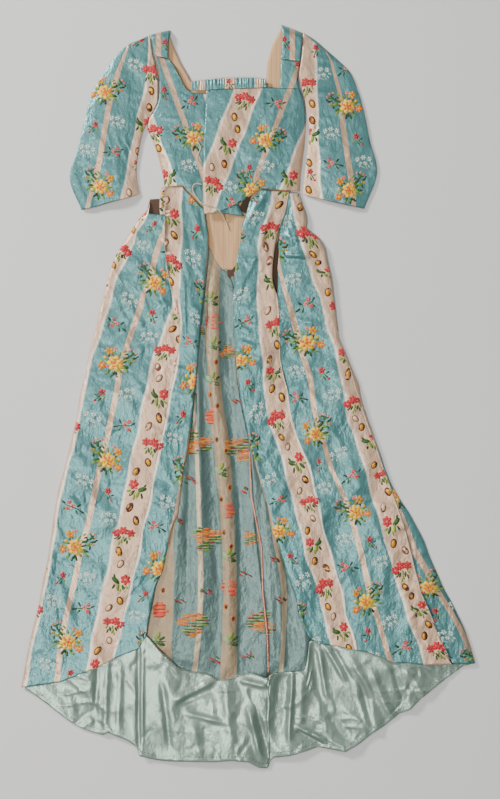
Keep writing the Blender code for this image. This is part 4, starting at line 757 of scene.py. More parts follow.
# Skirt back, right width.
#   seam | ridge | deep valley | ridge | d1 | d2 | side
SKIRT_BACK_RIGHT = (
    ("waist", (-4.17, 27.3, 0), (-2.5, 29.4, 0), (-0.3, 33.8, 0), (1.7, 37.2, 0), (5.2, 41.2, 0), (8.6, 43.5, 0), (9.9, 44.1, 0)),
    ("hip",   (-2.67, 21.4, 3), (-0.3, 21.4, 2), (2.2, 21.4, 0), (4.4, 21.4, 0), (8.8, 21.4, 0), (13.2, 21.4, 0), (17.0, 21.4, 0)),
    ("thigh", (-2.17, 3.8, 4), (0.8, 3.8, 2), (3.5, 3.8, 0), (5.9, 3.8, 0), (11.4, 3.8, 0), (18.2, 3.8, 0), (23.0, 3.8, 0)),
    ("knee",  (0.43, -11.6, 4), (3.0, -11.6, 2), (5.2, -11.6, 0), (8.1, -11.6, 0), (14.0, -11.6, 0), (21.7, -11.6, 0), (28.0, -11.6, 0)),
    ("calf",  (1.53, -27.0, 4), (4.4, -27.0, 5), (7.2, -27.0, 0), (10.5, -27.0, 0), (16.9, -27.0, 0), (27.2, -27.0, 0), (35.4, -27.0, 0)),
    ("shin",  (3.33, -42.4, 4), (6.9, -42.4, 6), (9.9, -42.4, 0), (12.5, -42.4, 2), (20.2, -42.4, 0), (32.3, -42.4, 0), (42.5, -42.4, 0)),
    ("ankle", (4.43, -53.4, 3), (7.0, -53.4, 6), (9.3, -53.4, 0), (11.6, -53.4, 3), (21.3, -54.5, 0), (35.2, -55.6, 0), (47.5, -53.9, 0)),
    ("train", (4.43, -66.6, 2), (5.9, -66.6, 4), (8.7, -66.6, 0), (12.7, -66.2, 3), (21.3, -66.6, 0), (31.9, -63.5, 0), (48.8, -56.9, 0)),
    ("hem",   (4.53, -79.2, 0), (6.1, -79.0, 0), (8.5, -78.8, 0), (12.5, -77.9, 0), (21.5, -77.8, 0), (33.4, -69.5, 0), (49.2, -58.9, 0)),
)

# Upper edge of the hem facing: rows of the back panel, counted from its waist, per guide
FACING_TOP_LEFT = (7.15, 6.9, 6.4, 5.95, 6.5, 6.58, 6.65, 6.6, 6.55)
FACING_TOP_RIGHT = (6.55, 6.6, 6.5, 6.5, 6.55, 6.6, 7.1)

# Bodice front, left: side to closing edge (across cm, along cm, rise mm)
BODICE_FRONT_LEFT = (
    ("strap",  (-20.4, 74.9, 8), (-19.6, 74.7, 8), (-18.9, 74.55, 8), (-18.2, 74.4, 8), (-17.5, 74.2, 8)),
    ("neck_1", (-19.7, 72.7, 8), (-18.7, 72.7, 8), (-17.9, 72.7, 8), (-17.1, 72.7, 8), (-16.3, 72.7, 8)),
    ("neck_2", (-19.4, 69.9, 8), (-18.1, 69.9, 9), (-17.0, 69.9, 9), (-15.9, 69.9, 9), (-14.8, 69.9, 8)),
    ("neck_3", (-19.4, 67.1, 8), (-17.6, 67.1, 10), (-15.9, 67.1, 10), (-14.3, 67.1, 9), (-12.9, 67.1, 8)),
    ("bust_1", (-19.9, 64.3, 8), (-16.9, 64.9, 12), (-13.9, 65.5, 12), (-10.9, 65.9, 9), (-8.2, 66.2, 8)),
    ("bust_2", (-22.2, 59.6, 4.5), (-18.3, 60.2, 12), (-14.5, 60.7, 12), (-10.9, 60.9, 9), (-8.0, 61.0, 9)),
    ("ribs_1", (-20.9, 56.2, 4.5), (-17.3, 56.5, 12), (-13.8, 56.4, 12), (-10.6, 56.2, 9), (-7.6, 56.1, 9)),
    ("ribs_2", (-19.7, 52.6, 4.5), (-16.5, 52.3, 11), (-13.3, 51.9, 11), (-10.4, 51.4, 9), (-6.5, 51.1, 8)),
    ("ribs_3", (-18.7, 48.3, 4.5), (-16.0, 48.4, 9), (-13.1, 47.6, 9), (-10.4, 46.2, 8), (-4.0, 46.0, 8)),
    ("waist",  (-18.4, 46.2, 4.5), (-14.3, 46.5, 8), (-12.0, 44.5, 8), (-9.3, 40.9, 8), (-0.9, 39.7, 8)),
)

# Bodice front, right: closing edge to side
BODICE_FRONT_RIGHT = (
    ("bust_1", (-9.2, 67.2, 13), (-5.0, 67.5, 13), (-0.6, 67.6, 12), (4.4, 67.9, 10), (7.0, 67.8, 8), (11.2, 67.8, 8)),
    ("bust_2", (-9.3, 64.0, 13), (-4.8, 64.2, 14), (0.2, 64.4, 14), (5.2, 64.6, 13), (8.9, 64.7, 10), (12.2, 64.8, 8)),
    ("pit",    (-9.5, 59.9, 13), (-4.8, 60.0, 14), (0.4, 60.0, 14), (5.2, 60.0, 14), (9.2, 60.0, 10), (12.6, 60.0, 4.5)),
    ("ribs_1", (-9.7, 56.1, 13), (-4.8, 56.4, 14), (0.2, 56.5, 14), (4.8, 56.6, 13), (8.8, 56.7, 9), (12.5, 56.8, 4.5)),
    ("ribs_2", (-9.8, 51.1, 13), (-5.0, 51.5, 13), (0.0, 51.8, 13), (4.5, 52.0, 12), (8.4, 52.1, 9), (12.0, 52.2, 4.5)),
    ("ribs_3", (-9.9, 45.1, 13), (-5.2, 46.1, 13), (-0.6, 47.1, 13), (4.0, 47.7, 11), (7.8, 47.8, 9), (11.5, 47.8, 4.5)),
    ("waist",  (-9.7, 40.1, 13), (-5.8, 40.8, 13), (-1.8, 42.5, 13), (3.0, 45.9, 11), (6.5, 45.5, 9), (11.4, 45.2, 4.5)),
)
# its tab up to the strap joint: neck edge to armhole edge
BODICE_TAB_RIGHT = (
    ("strap",  (7.2, 74.2, 8), (8.7, 74.0, 8), (10.2, 73.8, 8), (11.4, 73.5, 8)),
    ("neck_1", (7.1, 71.1, 8), (8.5, 71.0, 9), (9.9, 70.9, 9), (10.9, 70.7, 8)),
    ("neck_2", (7.0, 67.83, 8), (8.4, 67.83, 8), (9.8, 67.83, 8), (11.2, 67.83, 8)),
)

# Shoulder straps: neck edge to armhole edge, joint up to the shoulder fold
STRAP_LEFT = (
    ("joint",    (-17.5, 74.3, 8), (-18.9, 74.6, 8), (-20.4, 75.0, 8)),
    ("middle",   (-17.5, 77.9, 9), (-19.0, 77.8, 9), (-20.9, 77.0, 9)),
    ("shoulder", (-17.2, 80.2, 5), (-19.2, 79.8, 5), (-21.3, 79.2, 5)),
    ("fold",     (-17.2, 80.7, 0), (-19.2, 80.3, 0), (-21.4, 79.7, 0)),
)
STRAP_RIGHT = (
    ("joint",    (7.2, 74.3, 8), (9.3, 74.0, 8), (11.4, 73.6, 8)),
    ("middle",   (7.5, 78.0, 9), (9.5, 77.4, 9), (11.7, 76.8, 9)),
    ("shoulder", (7.4, 81.4, 5), (9.6, 80.6, 5), (11.9, 79.6, 5)),
    ("fold",     (7.3, 81.9, 0), (9.6, 81.1, 0), (12.0, 80.1, 0)),
)

# Bodice back above the waist: left armhole edge | left neck | right neck | right armhole edge
BODICE_BACK_TOP = (
    ("shoulder", (-21.0, 78.8), (-17.3, 79.7), (7.2, 81.0), (11.7, 79.3)),
    ("strap_1",  (-20.7, 76.5), (-16.4, 77.0), (5.3, 77.3), (11.5, 76.5)),
    ("strap_2",  (-20.2, 73.5), (-14.9, 73.5), (4.2, 73.5), (11.1, 73.5)),
    ("strap_3",  (-19.5, 70.5), (-13.1, 70.5), (4.0, 70.5), (10.6, 70.5)),
)
BODICE_BACK_BODY = (
    ("neck",  (-19.3, 68.0), (-12.0, 68.2), (3.6, 68.2), (10.7, 68.0)),
    ("arm_1", (-19.4, 65.5), (-12.0, 65.5), (3.6, 65.5), (11.6, 65.5)),
    ("arm_2", (-19.9, 62.4), (-12.0, 62.4), (3.6, 62.4), (11.6, 62.4)),
    ("pit",   (-19.9, 59.6), (-12.0, 59.6), (3.6, 59.6), (11.0, 59.6)),
    ("side",  (-18.5, 54.4), (-12.0, 54.4), (3.6, 54.4), (10.6, 54.4)),
    ("waist", (-16.4, 45.9), (-12.0, 45.9), (3.2, 45.7), (9.2, 45.6)),
)

# Sleeves, laid flat: outer fold | quarter | middle | three quarters | inner fold, loft of the upper ply mm
SLEEVE_LEFT = (
    ("armhole", (-21.6, 79.6), (-21.0, 75.5), (-19.8, 70.0), (-19.8, 65.0), (-22.5, 59.6), 11),
    ("cap_1",   (-24.0, 78.5), (-23.2, 74.2), (-22.0, 69.2), (-21.8, 64.0), (-23.0, 58.6), 12),
    ("cap_2",   (-26.5, 77.4), (-25.6, 72.4), (-24.5, 67.5), (-23.7, 62.4), (-23.4, 57.2), 13),
    ("cap_3",   (-29.7, 74.2), (-28.2, 69.5), (-26.7, 64.9), (-25.2, 60.2), (-23.8, 55.5), 13),
    ("upper_1", (-32.4, 70.4), (-30.3, 66.2), (-28.2, 62.1), (-26.2, 57.9), (-24.1, 53.7), 13),
    ("upper_2", (-34.6, 66.3), (-32.0, 62.7), (-29.5, 59.1), (-26.9, 55.5), (-24.4, 51.9), 13),
    ("upper_3", (-36.0, 60.8), (-33.1, 58.0), (-30.3, 55.3), (-27.4, 52.5), (-24.6, 49.8), 12),
    ("elbow_1", (-37.4, 55.0), (-34.2, 53.2), (-31.0, 51.4), (-27.7, 49.6), (-24.5, 47.8), 12),
    ("elbow_2", (-39.2, 48.4), (-35.5, 47.9), (-31.8, 47.4), (-28.0, 46.9), (-24.3, 46.4), 12),
    ("cuff",    (-36.6, 41.1), (-33.4, 41.8), (-30.2, 42.8), (-27.0, 43.6), (-23.9, 44.6), 11),
)
SLEEVE_RIGHT = (
    ("armhole", (12.1, 80.1), (11.9, 75.5), (11.2, 70.4), (12.5, 65.3), (13.2, 59.7), 11),
    ("cap_1",   (14.6, 78.5), (14.2, 73.6), (13.6, 69.0), (13.8, 64.0), (13.3, 58.6), 12),
    ("cap_2",   (16.9, 76.5), (16.0, 71.7), (15.1, 66.9), (14.4, 62.1), (13.3, 57.2), 13),
    ("cap_3",   (19.3, 74.4), (17.8, 69.8), (16.3, 65.2), (14.7, 60.5), (13.2, 55.9), 13),
    ("upper_1", (22.2, 71.5), (19.9, 67.2), (17.6, 63.0), (15.4, 58.7), (13.1, 54.5), 13),
    ("upper_2", (24.2, 66.9), (21.4, 63.3), (18.5, 59.7), (15.7, 56.2), (12.9, 52.6), 13),
    ("upper_3", (25.7, 61.6), (22.4, 58.9), (19.2, 56.2), (15.9, 53.6), (12.7, 50.9), 12),
    ("elbow_1", (26.7, 56.4), (23.1, 54.5), (19.6, 52.6), (16.0, 50.8), (12.5, 48.9), 12),
    ("elbow_2", (28.3, 49.8), (24.3, 49.1), (20.3, 48.4), (16.3, 47.6), (12.3, 46.9), 12),
    ("cuff",    (25.5, 41.4), (22.0, 42.1), (18.6, 42.9), (15.3, 43.7), (12.0, 44.6), 11),
)

# Neck casing: upper edge | lower edge, rise mm
NECK_CASING = (
    ("left_end",  (-12.2, 69.3), (-12.6, 67.3), 9.0),
    ("left",      (-9.0, 69.6), (-9.3, 67.35), 10.0),
    ("centre_l",  (-5.5, 69.9), (-5.0, 67.6), 11.0),
    ("centre_r",  (0.4, 70.0), (-0.4, 67.7), 11.0),
    ("right_end", (3.8, 69.7), (4.2, 68.0), 9.5),
)


def hermite(knots, values, at):
    """Smooth curve through values at knots (non-uniform three-point tangents)."""
    knots = np.asarray(knots, float)
    values = np.asarray(values, float)
    n = len(knots)
    slope = np.zeros_like(values)
    for i in range(n):
        if i == 0:
            slope[i] = (values[1] - values[0]) / (knots[1] - knots[0])
        elif i == n - 1:
            slope[i] = (values[-1] - values[-2]) / (knots[-1] - knots[-2])
        else:
            left, right = knots[i] - knots[i - 1], knots[i + 1] - knots[i]
            slope[i] = ((values[i] - values[i - 1]) / left * right
                        + (values[i + 1] - values[i]) / right * left) / (left + right)
    result = []
    for t in at:
        i = min(max(int(np.searchsorted(knots, t, side="right")) - 1, 0), n - 2)
        h = knots[i + 1] - knots[i]
        s = (t - knots[i]) / h
        result.append((2 * s**3 - 3 * s**2 + 1) * values[i] + (s**3 - 2 * s**2 + s) * h * slope[i]
                      + (-2 * s**3 + 3 * s**2) * values[i + 1] + (s**3 - s**2) * h * slope[i + 1])
    return np.array(result)


def table_array(table):
    return np.array([[list(p) for p in row[1:]] for row in table], float)


def fine_lattice(table, spacing_rows, spacing_cols, starts=None):
    """Fine x, y, rise grids from a row table, and the column of each guide."""
    rows = table_array(table)
    n, g = rows.shape[:2]
    chord = np.linalg.norm(np.diff(rows[:, :, :2], axis=0), axis=2).mean(axis=1)
    knots = np.concatenate(([0.0], np.cumsum(chord)))
    steps = np.linspace(0, knots[-1], max(3, int(knots[-1] / spacing_rows)))
    columns = []
    for j in range(g):
        own = steps
        if starts is not None:
            begin = np.interp(starts[j], range(n), knots)
            own = begin + (knots[-1] - begin) * np.linspace(0, 1, len(steps))
        columns.append(hermite(knots, rows[:, j], own))
    columns = np.array(columns)
    parts, index = [], [0]
    for j in range(g - 1):
        gap = np.linalg.norm(columns[j + 1, :, :2] - columns[j, :, :2], axis=1).mean()
        k = max(2, int(round(gap / spacing_cols)))
        for i in range(k):
            f = i / k
            p = columns[j] * (1 - f) + columns[j + 1] * f
            s = f * f * (3 - 2 * f)
            p[:, 2] = columns[j, :, 2] * (1 - s) + columns[j + 1, :, 2] * s
            parts.append(p)
        index.append(index[-1] + k)
    parts.append(columns[-1])
    grid = np.array(parts).transpose(1, 0, 2)
    return grid[..., 0], grid[..., 1], np.maximum(grid[..., 2], 0), index


def by_guides(x, index, values):
    """A value per guide, linear between guides."""
    return np.tile(np.interp(np.arange(x.shape[1]), index, values), (x.shape[0], 1))


def line_hem(x, y, edge, rows=26):
    e = np.array(edge, float)
    order = np.argsort(e[:, 0])
    target = np.interp(x[-1], e[order, 0], e[order, 1])
    w = np.zeros(len(y))
    w[-rows:] = smoothstep(np.linspace(0, 1, rows), 0, 1)
    return y + (target - y[-1])[None, :] * w[:, None]


def tuck(x, y, z, labels, gap, least):
    """Keeps a cloth below the cloths that lie over it, mm."""
    z = z.copy()
    down = Vector((0, 0, -1))
    for i in range(x.shape[0]):
        for j in range(x.shape[1]):
            for label in labels:
                tree, triangles, corners = LAYER[label]
                hit = tree.ray_cast(Vector((x[i, j], -y[i, j], 5.0)), down)
                if hit[0] is not None:
                    over = float(corners[triangles[hit[2]], 2].min() / MM)
                    z[i, j] = max(least, min(z[i, j], over - gap))
    return z


# ---------------------------------------------------------------- skirt back, seen from inside
BACK_FOLDS = (
    (-6.3, 20.0, -8.0, 4.0, 1.5, 1.2), (-9.0, 26.0, -9.8, -2.0, 0.5, -1.5), (-4.6, 14.0, -2.6, -22.0, 0.5, -1.8), (-8.7, 2.0, -6.7, -40.0, 0.6, -2.0),
    (-2.0, -20.0, -1.2, -60.0, 0.6, -2.2), (-11.2, 10.0, -10.2, -30.0, 0.8, 1.6), (-12.6, -5.0, -13.6, -45.0, 0.6, -1.6), (-15.2, -22.0, -17.2, -56.0, 0.9, 1.5),
    (-1.0, 10.0, 1.6, -24.0, 0.7, 1.6), (-3.2, -8.0, -1.6, -50.0, 0.8, 1.4), (4.0, -20.0, 5.5, -58.0, 0.7, 1.6), (8.0, -30.0, 9.2, -58.0, 0.8, -2.4), (12.0, -44.0, 13.0, -60.0, 0.7, 1.6))
BACK = {}
for label, table, ends, places, way in (
        ("left", SKIRT_BACK_LEFT, "first", (-36, -33, -28, -22.7, -9.1, -4.6, 0, 4.8, 7.9), 1),
        ("right", SKIRT_BACK_RIGHT, "last", (5.6, 8.2, 11, 13.6, 19, 27, 33), -1)):
    x, y, z, at = fine_lattice(table, 0.5, 0.45)
    y = line_hem(x, y, TRAIN_EDGE)
    inset = 0.45 * way * np.exp(-edge_distance(x, y, 0 if way > 0 else x.shape[1] - 1) / 1.5)
    x = x + inset
    u = by_guides(x, at, places)
    v = -y
    z = z * 1.4 + 1.7 + 3.2 * creases(x, y, BACK_FOLDS) + crumple(51, x, y, 1.8, 0.1)
    z = np.maximum(z, 1.05)
    # stay under the facing and the fronts
    edge_top = np.interp(x, [p[0] for p in FACING_EDGE], [p[1] for p in FACING_EDGE])
    z = np.minimum(z, 1.7 + 9.0 * smoothstep(y - edge_top, -0.2, 4.0))
    z = tuck(x, y, z, ("front_left", "front_right"), 2.0, 1.05)
    BACK[label] = (x, y, z, u, v, at)
    remember("back_" + label, x, y, z, x, -y)
    under = np.where(z - WALL < 1.2, 0.0, z - WALL)
    made = shell_arrays(x, y, z, u, v, WALL, under=under)
    piece = mesh_from("skirt_%s_back" % label, *made, [MAT["silk_reverse"]])
    finish_piece(piece, ["skirt_back_" + label])

# ---------------------------------------------------------------- hem facing
FACING_FOLDS = (
    (-24.0, -54.5, -24.0, -77.5, 0.35, -2.2), (-23.3, -55.0, -23.4, -76.0, 0.4, 1.2), (-30.8, -58.5, -31.5, -73.0, 0.5, 1.0), (-33.0, -58.0, -33.8, -72.5, 0.5, -1.0), (-28.0, -58.5, -28.6, -74.0, 0.7, 1.0), (-40.0, -64.0, -38.0, -70.0, 0.7, 0.8),
    (-16.1, -66.6, -7.3, -62.2, 0.7, 1.9), (-15.6, -67.6, -8.0, -64.2, 0.6, -1.8), (-13.9, -69.3, -5.1, -71.5, 0.6, 1.5), (-19.0, -62.0, -17.0, -78.0, 0.7, -1.2), (-12.0, -72.0, -10.5, -79.0, 0.8, 1.0),
    (-1.8, -62.2, 4.4, -63.5, 0.6, 1.4), (0.0, -68.0, 3.0, -79.8, 0.7, 1.8), (1.6, -67.5, 4.6, -79.0, 0.6, -1.5), (-5.0, -62.5, -3.6, -78.0, 1.0, 1.2),
    (7.2, -60.5, 6.4, -74.5, 1.7, -3.2), (9.7, -60.0, 8.9, -75.4, 0.45, 2.6), (11.8, -60.0, 11.6, -74.0, 1.1, 1.2), (14.2, -55.6, 15.8, -65.5, 0.8, -2.2), (15.4, -55.0, 17.2, -66.0, 0.45, 1.6),
    (10.3, -72.1, 16.9, -75.4, 0.5, 1.8), (10.8, -73.4, 16.5, -76.4, 0.5, -1.4), (18.0, -70.0, 22.5, -76.0, 1.3, -2.2), (16.9, -54.5, 21.3, -62.2, 0.5, 1.6), (18.6, -55.0, 23.0, -62.6, 0.5, -1.3), (22.5, -57.0, 27.5, -66.0, 0.7, 1.3),
    (27.0, -60.0, 31.5, -71.0, 0.9, 1.3), (24.5, -62.0, 27.5, -73.5, 0.7, -1.2), (35.0, -59.5, 39.0, -66.0, 0.8, 1.0), (31.5, -58.5, 34.5, -68.0, 0.7, -0.9))
for label, table, starts in (("left", SKIRT_BACK_LEFT, FACING_TOP_LEFT), ("right", SKIRT_BACK_RIGHT, FACING_TOP_RIGHT)):
    x, y, z, at = fine_lattice(table, 2.1, 0.42, starts)
    rows = x.shape[0]
    y = line_hem(x, y, TRAIN_EDGE, rows)
    e = np.array(FACING_EDGE, float)
    top = np.interp(x[0], e[:, 0], e[:, 1])
    hem = np.array(HEM_LEFT, float)
    top = np.where(x[0] < -22.34, np.interp(x[0], hem[:, 0], hem[:, 1]) + 0.2 + 1.4 * smoothstep(-x[0], 22.6, 24.8), top)
    inside = x[0] > -47.0
    y = y + np.where(inside, top - y[0], 0.0)[None, :] * (1 - smoothstep(np.linspace(0, 1, rows), 0, 0.6))[:, None]
    way = 1 if label == "left" else -1
    x = x + 0.45 * way * np.exp(-edge_distance(x, y, 0 if way > 0 else x.shape[1] - 1) / 1.5)
    z = np.maximum(z * 0.35, 0) + 8.6 + 3.6 * creases(x, y, FACING_FOLDS) + crumple(71, x, y, 4.6, 0.2) + 1.5 * lattice_noise(77, x + 0.3 * y, y * 0.6, 7.5)
    z = np.clip(z, 2.9, 18.5)
    z = tuck(x, y, z, ("front_left", "front_right"), 2.0, 2.75)
    lip = np.abs(y - y[-1][None, :])
    z = z - 1.0 * np.clip(1 - lip / 0.5, 0, 1) ** 2
    made = shell_arrays(x, y, z, x, -y, 1.0)
    piece = mesh_from("facing_%s" % label, *made, [MAT["facing_silk"]])
    remember("facing_" + label, x, y, z, x, -y)
    finish_piece(piece, ["hem_facing_" + label])


# ---------------------------------------------------------------- bodice
def from_level(x, y):
    """Layout place (cm) to the measured frame used by the bodice's stripe slopes."""
    return x / 0.22 + 248.15, 397.2 - y / 0.22


def subdivide(grid, times):
    for _ in range(times):
        mid = (grid[:-1] + grid[1:]) / 2
        out = np.empty((len(grid) + len(mid), *grid.shape[1:]))
        out[0::2], out[1::2] = grid, mid
        grid = out
    return grid


# back of the bodice with its linen lining
left_edge = [(p[0], p[1]) for p in SKIRT_BACK_LEFT[0][4:]]
right_edge = [(p[0], p[1]) for p in SKIRT_BACK_RIGHT[0][1:]]


def edge_at(edge, level):
    pairs = sorted((p[1], p[0]) for p in edge)
    return float(np.interp(level, [p[0] for p in pairs], [p[1] for p in pairs]))


point_rows = []
for level in np.linspace(43.4, 27.9, 32):
    left, right = edge_at(left_edge, level) - 0.15, edge_at(right_edge, level) + 0.15
    if right - left > 0.3:
        point_rows.append([(left + f * (right - left), level + 0.08) for f in (0, 0.3, 0.72, 1)])
body_rows = [[tuple(p) for p in row[1:]] for row in BODICE_BACK_TOP + BODICE_BACK_BODY]
upper = np.array(body_rows, float)
upper = subdivide(upper, 3)
neck_row = (len(BODICE_BACK_TOP)) * 8 - 4
whole = np.concatenate([upper, np.array(point_rows, float)])
cols = []
for j, k in ((0, 10), (1, 22), (2, 10)):
    for i in range(k):
        f = i / k
        cols.append(whole[:, j] * (1 - f) + whole[:, j + 1] * f)
cols.append(whole[:, 3])
grid = np.array(cols).transpose(1, 0, 2)
x, y = grid[..., 0], grid[..., 1]
keep = np.ones((x.shape[0] - 1, x.shape[1] - 1), bool)
keep[:neck_row, 10:32] = False
z = 1.3 + 0.0 * x
made = shell_arrays(x, y, z, x, -y, 1.3, keep)
piece = mesh_from("back_bodice", *made, [MAT["silk_brocade"]])
finish_piece(piece, ["bodice_back"])
z = 3.3 + crumple(91, x, y, 0.18, 0.0) + creases(x, y, ((-8.2, 40, -5.8, 29.5, 0.5, 0.8), (-5.2, 41, -4.6, 28.5, 0.45, -0.7), (-2.0, 41, -3.4, 30.0, 0.5, 0.7)))
made = shell_arrays(x, y, z, x, -y, 1.1, keep)
piece = mesh_from("lining_of_back", *made, [MAT["linen_lining"]])
finish_piece(piece, ["back_lining"])


def bodice_left_place(x, y):
    px, py = from_level(x, y)
    return 9.3 + (px - (170 + (py - 79.7) * 0.358)) * 0.2071, ((px - 170) * 0.337 + (py - 79.7) * 0.9415) * 0.22


def bodice_right_place(x, y):
    px, py = from_level(x, y)
    return (px - 246 + (py - 94.4) * 0.385) * 0.2053 * 1.052, ((px - 246) * -0.359 + (py - 94.4) * 0.933) * 0.22


x, y, z, at = fine_lattice(BODICE_FRONT_LEFT, 0.3, 0.33)
z = z + 1.5
d0 = edge_distance(x, y, 0)
side = smoothstep(-y, -61.5, -58.5)
z = z - side * (z - 1.9) * np.clip(1 - d0 / 0.9, 0, 1) ** 2
z += (creases(x, y, ((-14.5, 61.5, -18.5, 55.0, 0.7, 1.0), (-12.0, 63.5, -16.0, 58.5, 0.6, -0.8), (-16.8, 50.5, -14.0, 47.0, 0.6, 0.9), (-10.0, 52.0, -12.0, 44.0, 0.7, -0.8),
     (-20.2, 57.5, -16.8, 54.6, 0.5, 0.9), (-11.0, 49.0, -9.9, 42.5, 0.5, 0.9), (-18.6, 51.0, -16.8, 48.0, 0.5, 0.8))) + crumple(101, x, y, 2.6)) * np.clip(d0 / 1.5, 0.2, 1)
z = roll(x, y, z, 0, 1, 0.35, 0.8)
z = np.clip(z, 1.7, 14.4)
tuck = (x > -9.6) & (y < 62)
z = np.where(tuck, np.minimum(z, 11.0), z)
u, v = bodice_left_place(x, y)
made = shell_arrays(x, y, z, u, v, WALL)
remember("bodice_left", x, y, z, x, -y)
piece = mesh_from("left_bodice_front", *made, [MAT["silk_brocade"]])
finish_piece(piece, ["bodice_front_left"])

x, y, z, at = fine_lattice(BODICE_FRONT_RIGHT, 0.3, 0.33)
z = z + 1.5
last = x.shape[1] - 1
d1 = edge_distance(x, y, last)
side = smoothstep(-y, -61.5, -58.0)
z = z - side * (z - 1.9) * np.clip(1 - d1 / 0.9, 0, 1) ** 2
z += (creases(x, y, ((3.6, 59.2, 12.6, 64.4, 0.55, 1.6), (2.6, 60.8, 11.5, 65.8, 0.5, -1.3), (9.4, 59.6, 11.0, 57.8, 0.9, -1.2), (4.6, 57.0, 9.0, 59.4, 0.6, 0.8), (-8.0, 48.0, -3.0, 43.0, 0.6, 0.9),
     (2.0, 50.5, 6.0, 47.0, 0.6, 0.8), (7.5, 53.0, 11.0, 48.5, 0.6, 0.9), (-3.0, 56.0, 1.5, 52.5, 0.7, 0.7), (-9.0, 63.0, -7.0, 57.0, 0.6, 0.6))) + crumple(121, x, y, 2.5, -0.3)) * np.clip(d1 / 1.5, 0.2, 1)
z = roll(x, y, z, 0, 1, 0.35, 0.9)
z = roll(x, y, z, last, -1, 0.3, 0.6)
z = np.clip(z, 1.7, 17.2)
u, v = bodice_right_place(x, y)
made = shell_arrays(x, y, z, u, v, WALL)
remember("bodice_right", x, y, z, x, -y)
tx, ty, tz, tat = fine_lattice(BODICE_TAB_RIGHT, 0.3, 0.33)
tz = tz + 1.5 + crumple(131, tx, ty, 0.25)
tz = roll(tx, ty, tz, 0, 1, 0.3, 0.6)
tz = roll(tx, ty, tz, tx.shape[1] - 1, -1, 0.3, 0.6)
tu, tv = bodice_right_place(tx, ty)
tab = shell_arrays(tx, ty - 0.12 * (ty < 68.2), tz, tu, tv, WALL, start=len(made[0]))
remember("bodice_tab", tx, ty, tz, tx, -ty)
piece = mesh_from("right_bodice_front", np.concatenate([made[0], tab[0]]), np.concatenate([made[1], tab[1]]), np.concatenate([made[2], tab[2]]), [MAT["silk_brocade"]])
finish_piece(piece, ["bodice_front_right"])

for label, table, centre in (("left", STRAP_LEFT, -19.7), ("right", STRAP_RIGHT, 9.7)):
    x, y, z, at = fine_lattice(table, 0.25, 0.28)
    z = z + 1.5 + crumple(141, x, y, 0.2)
    z = roll(x, y, z, 0, 1, 0.3, 0.7)
    z = roll(x, y, z, x.shape[1] - 1, -1, 0.3, 0.7)
    z = np.maximum(z, 1.6)
    u = x - centre + 9.1
    made = shell_arrays(x, y, z, u, -y, WALL)
    remember("strap_" + label, x, y, z, x, -y)
    piece = mesh_from("strap_%s" % label, *made, [MAT["silk_brocade"]])
    finish_piece(piece, ["shoulder_strap_" + label])

# gathered neck casing
casing = np.array([[(*row[1], row[3]), ((row[1][0] + row[2][0]) / 2, (row[1][1] + row[2][1]) / 2, row[3] + 1.0), (*row[2], row[3])] for row in NECK_CASING], float)
n = 220
s = np.linspace(0, len(casing) - 1, n)
cols = [hermite(np.arange(len(casing)), casing[:, j], s) for j in range(3)]
k = 14
t = np.linspace(0, 1, k)
x = np.array([[np.interp(q, (0, 0.5, 1), [c[i, 0] for c in cols]) for q in t] for i in range(n)])
y = np.array([[np.interp(q, (0, 0.5, 1), [c[i, 1] for c in cols]) for q in t] for i in range(n)])
z = np.array([[np.interp(q, (0, 0.5, 1), [c[i, 2] for c in cols]) for q in t] for i in range(n)])
gather = np.sin(x * 2 * math.pi / 0.62 + lattice_noise(151, x, y * 0.3, 1.3) * 3.0) * (0.35 + 0.65 * (np.abs(t - 0.15) < 0.4))[None, :]
z = z + 1.6 + 0.7 * gather
y = y + 0.06 * gather * (t < 0.2)[None, :]
u = np.where(np.abs(x + 10.2) < 0.7, 0.0, np.where(np.abs(x + 4.0) < 1.1, 0.0, np.where(np.abs(x - 2.3) < 0.8, 0.0, 5.0)))
made = shell_arrays(x, y, z, u, -y, 1.6)
remember("casing", x, y, z, x, -y)
piece = mesh_from("gathered_casing", *made, [MAT["silk_brocade"]])
finish_piece(piece, ["neck_casing"])


# ---------------------------------------------------------------- sleeves
SLEEVE_LINES = {
    # outer fold, narrow stripe, edge of the wide stripe, inner fold: (across, along) cm
    "left": (((-20, 82), (-26.5, 77.6), (-33.7, 70.0), (-36.0, 60.8), (-39.2, 48.8), (-36.5, 41)), ((-26.5, 77.3), (-28.6, 71.5), (-30.4, 65.0), (-31.5, 58.6), (-32.2, 54.0), (-33.2, 48.9), (-35.7, 41.4)),
             ((-22.0, 78.5), (-22.0, 72.2), (-23.4, 65.6), (-24.5, 60.8), (-25.6, 55.8), (-26.5, 50.6), (-28.0, 44.3)), ((-19.8, 80.0), (-19.6, 68), (-22.5, 59.6), (-23.8, 55.8), (-24.3, 48.8), (-23.9, 44.6))),
    "right": (((12.1, 80.1), (20.4, 73.3), (24.2, 66.4), (26.7, 56.5), (28.3, 49.0), (25.5, 41.4)), ((16.0, 78.0), (18.2, 74.2), (20.2, 66.5), (20.7, 59.9), (22.0, 51.1), (23.1, 45.6), (23.4, 42.0)),
              ((15.0, 76.5), (15.4, 67.5), (15.4, 60.0), (15.6, 53.5), (16.0, 48.0), (16.3, 44.5)), ((11.5, 80.0), (11.2, 68.0), (13.3, 59.4), (13.0, 53.0), (12.5, 48.0), (12.0, 44.6))),
}
SLEEVE_U = {"left": (-14.1, -9.1, -3.05, 0.2), "right": (14.1, 9.1, 3.05, -0.2)}


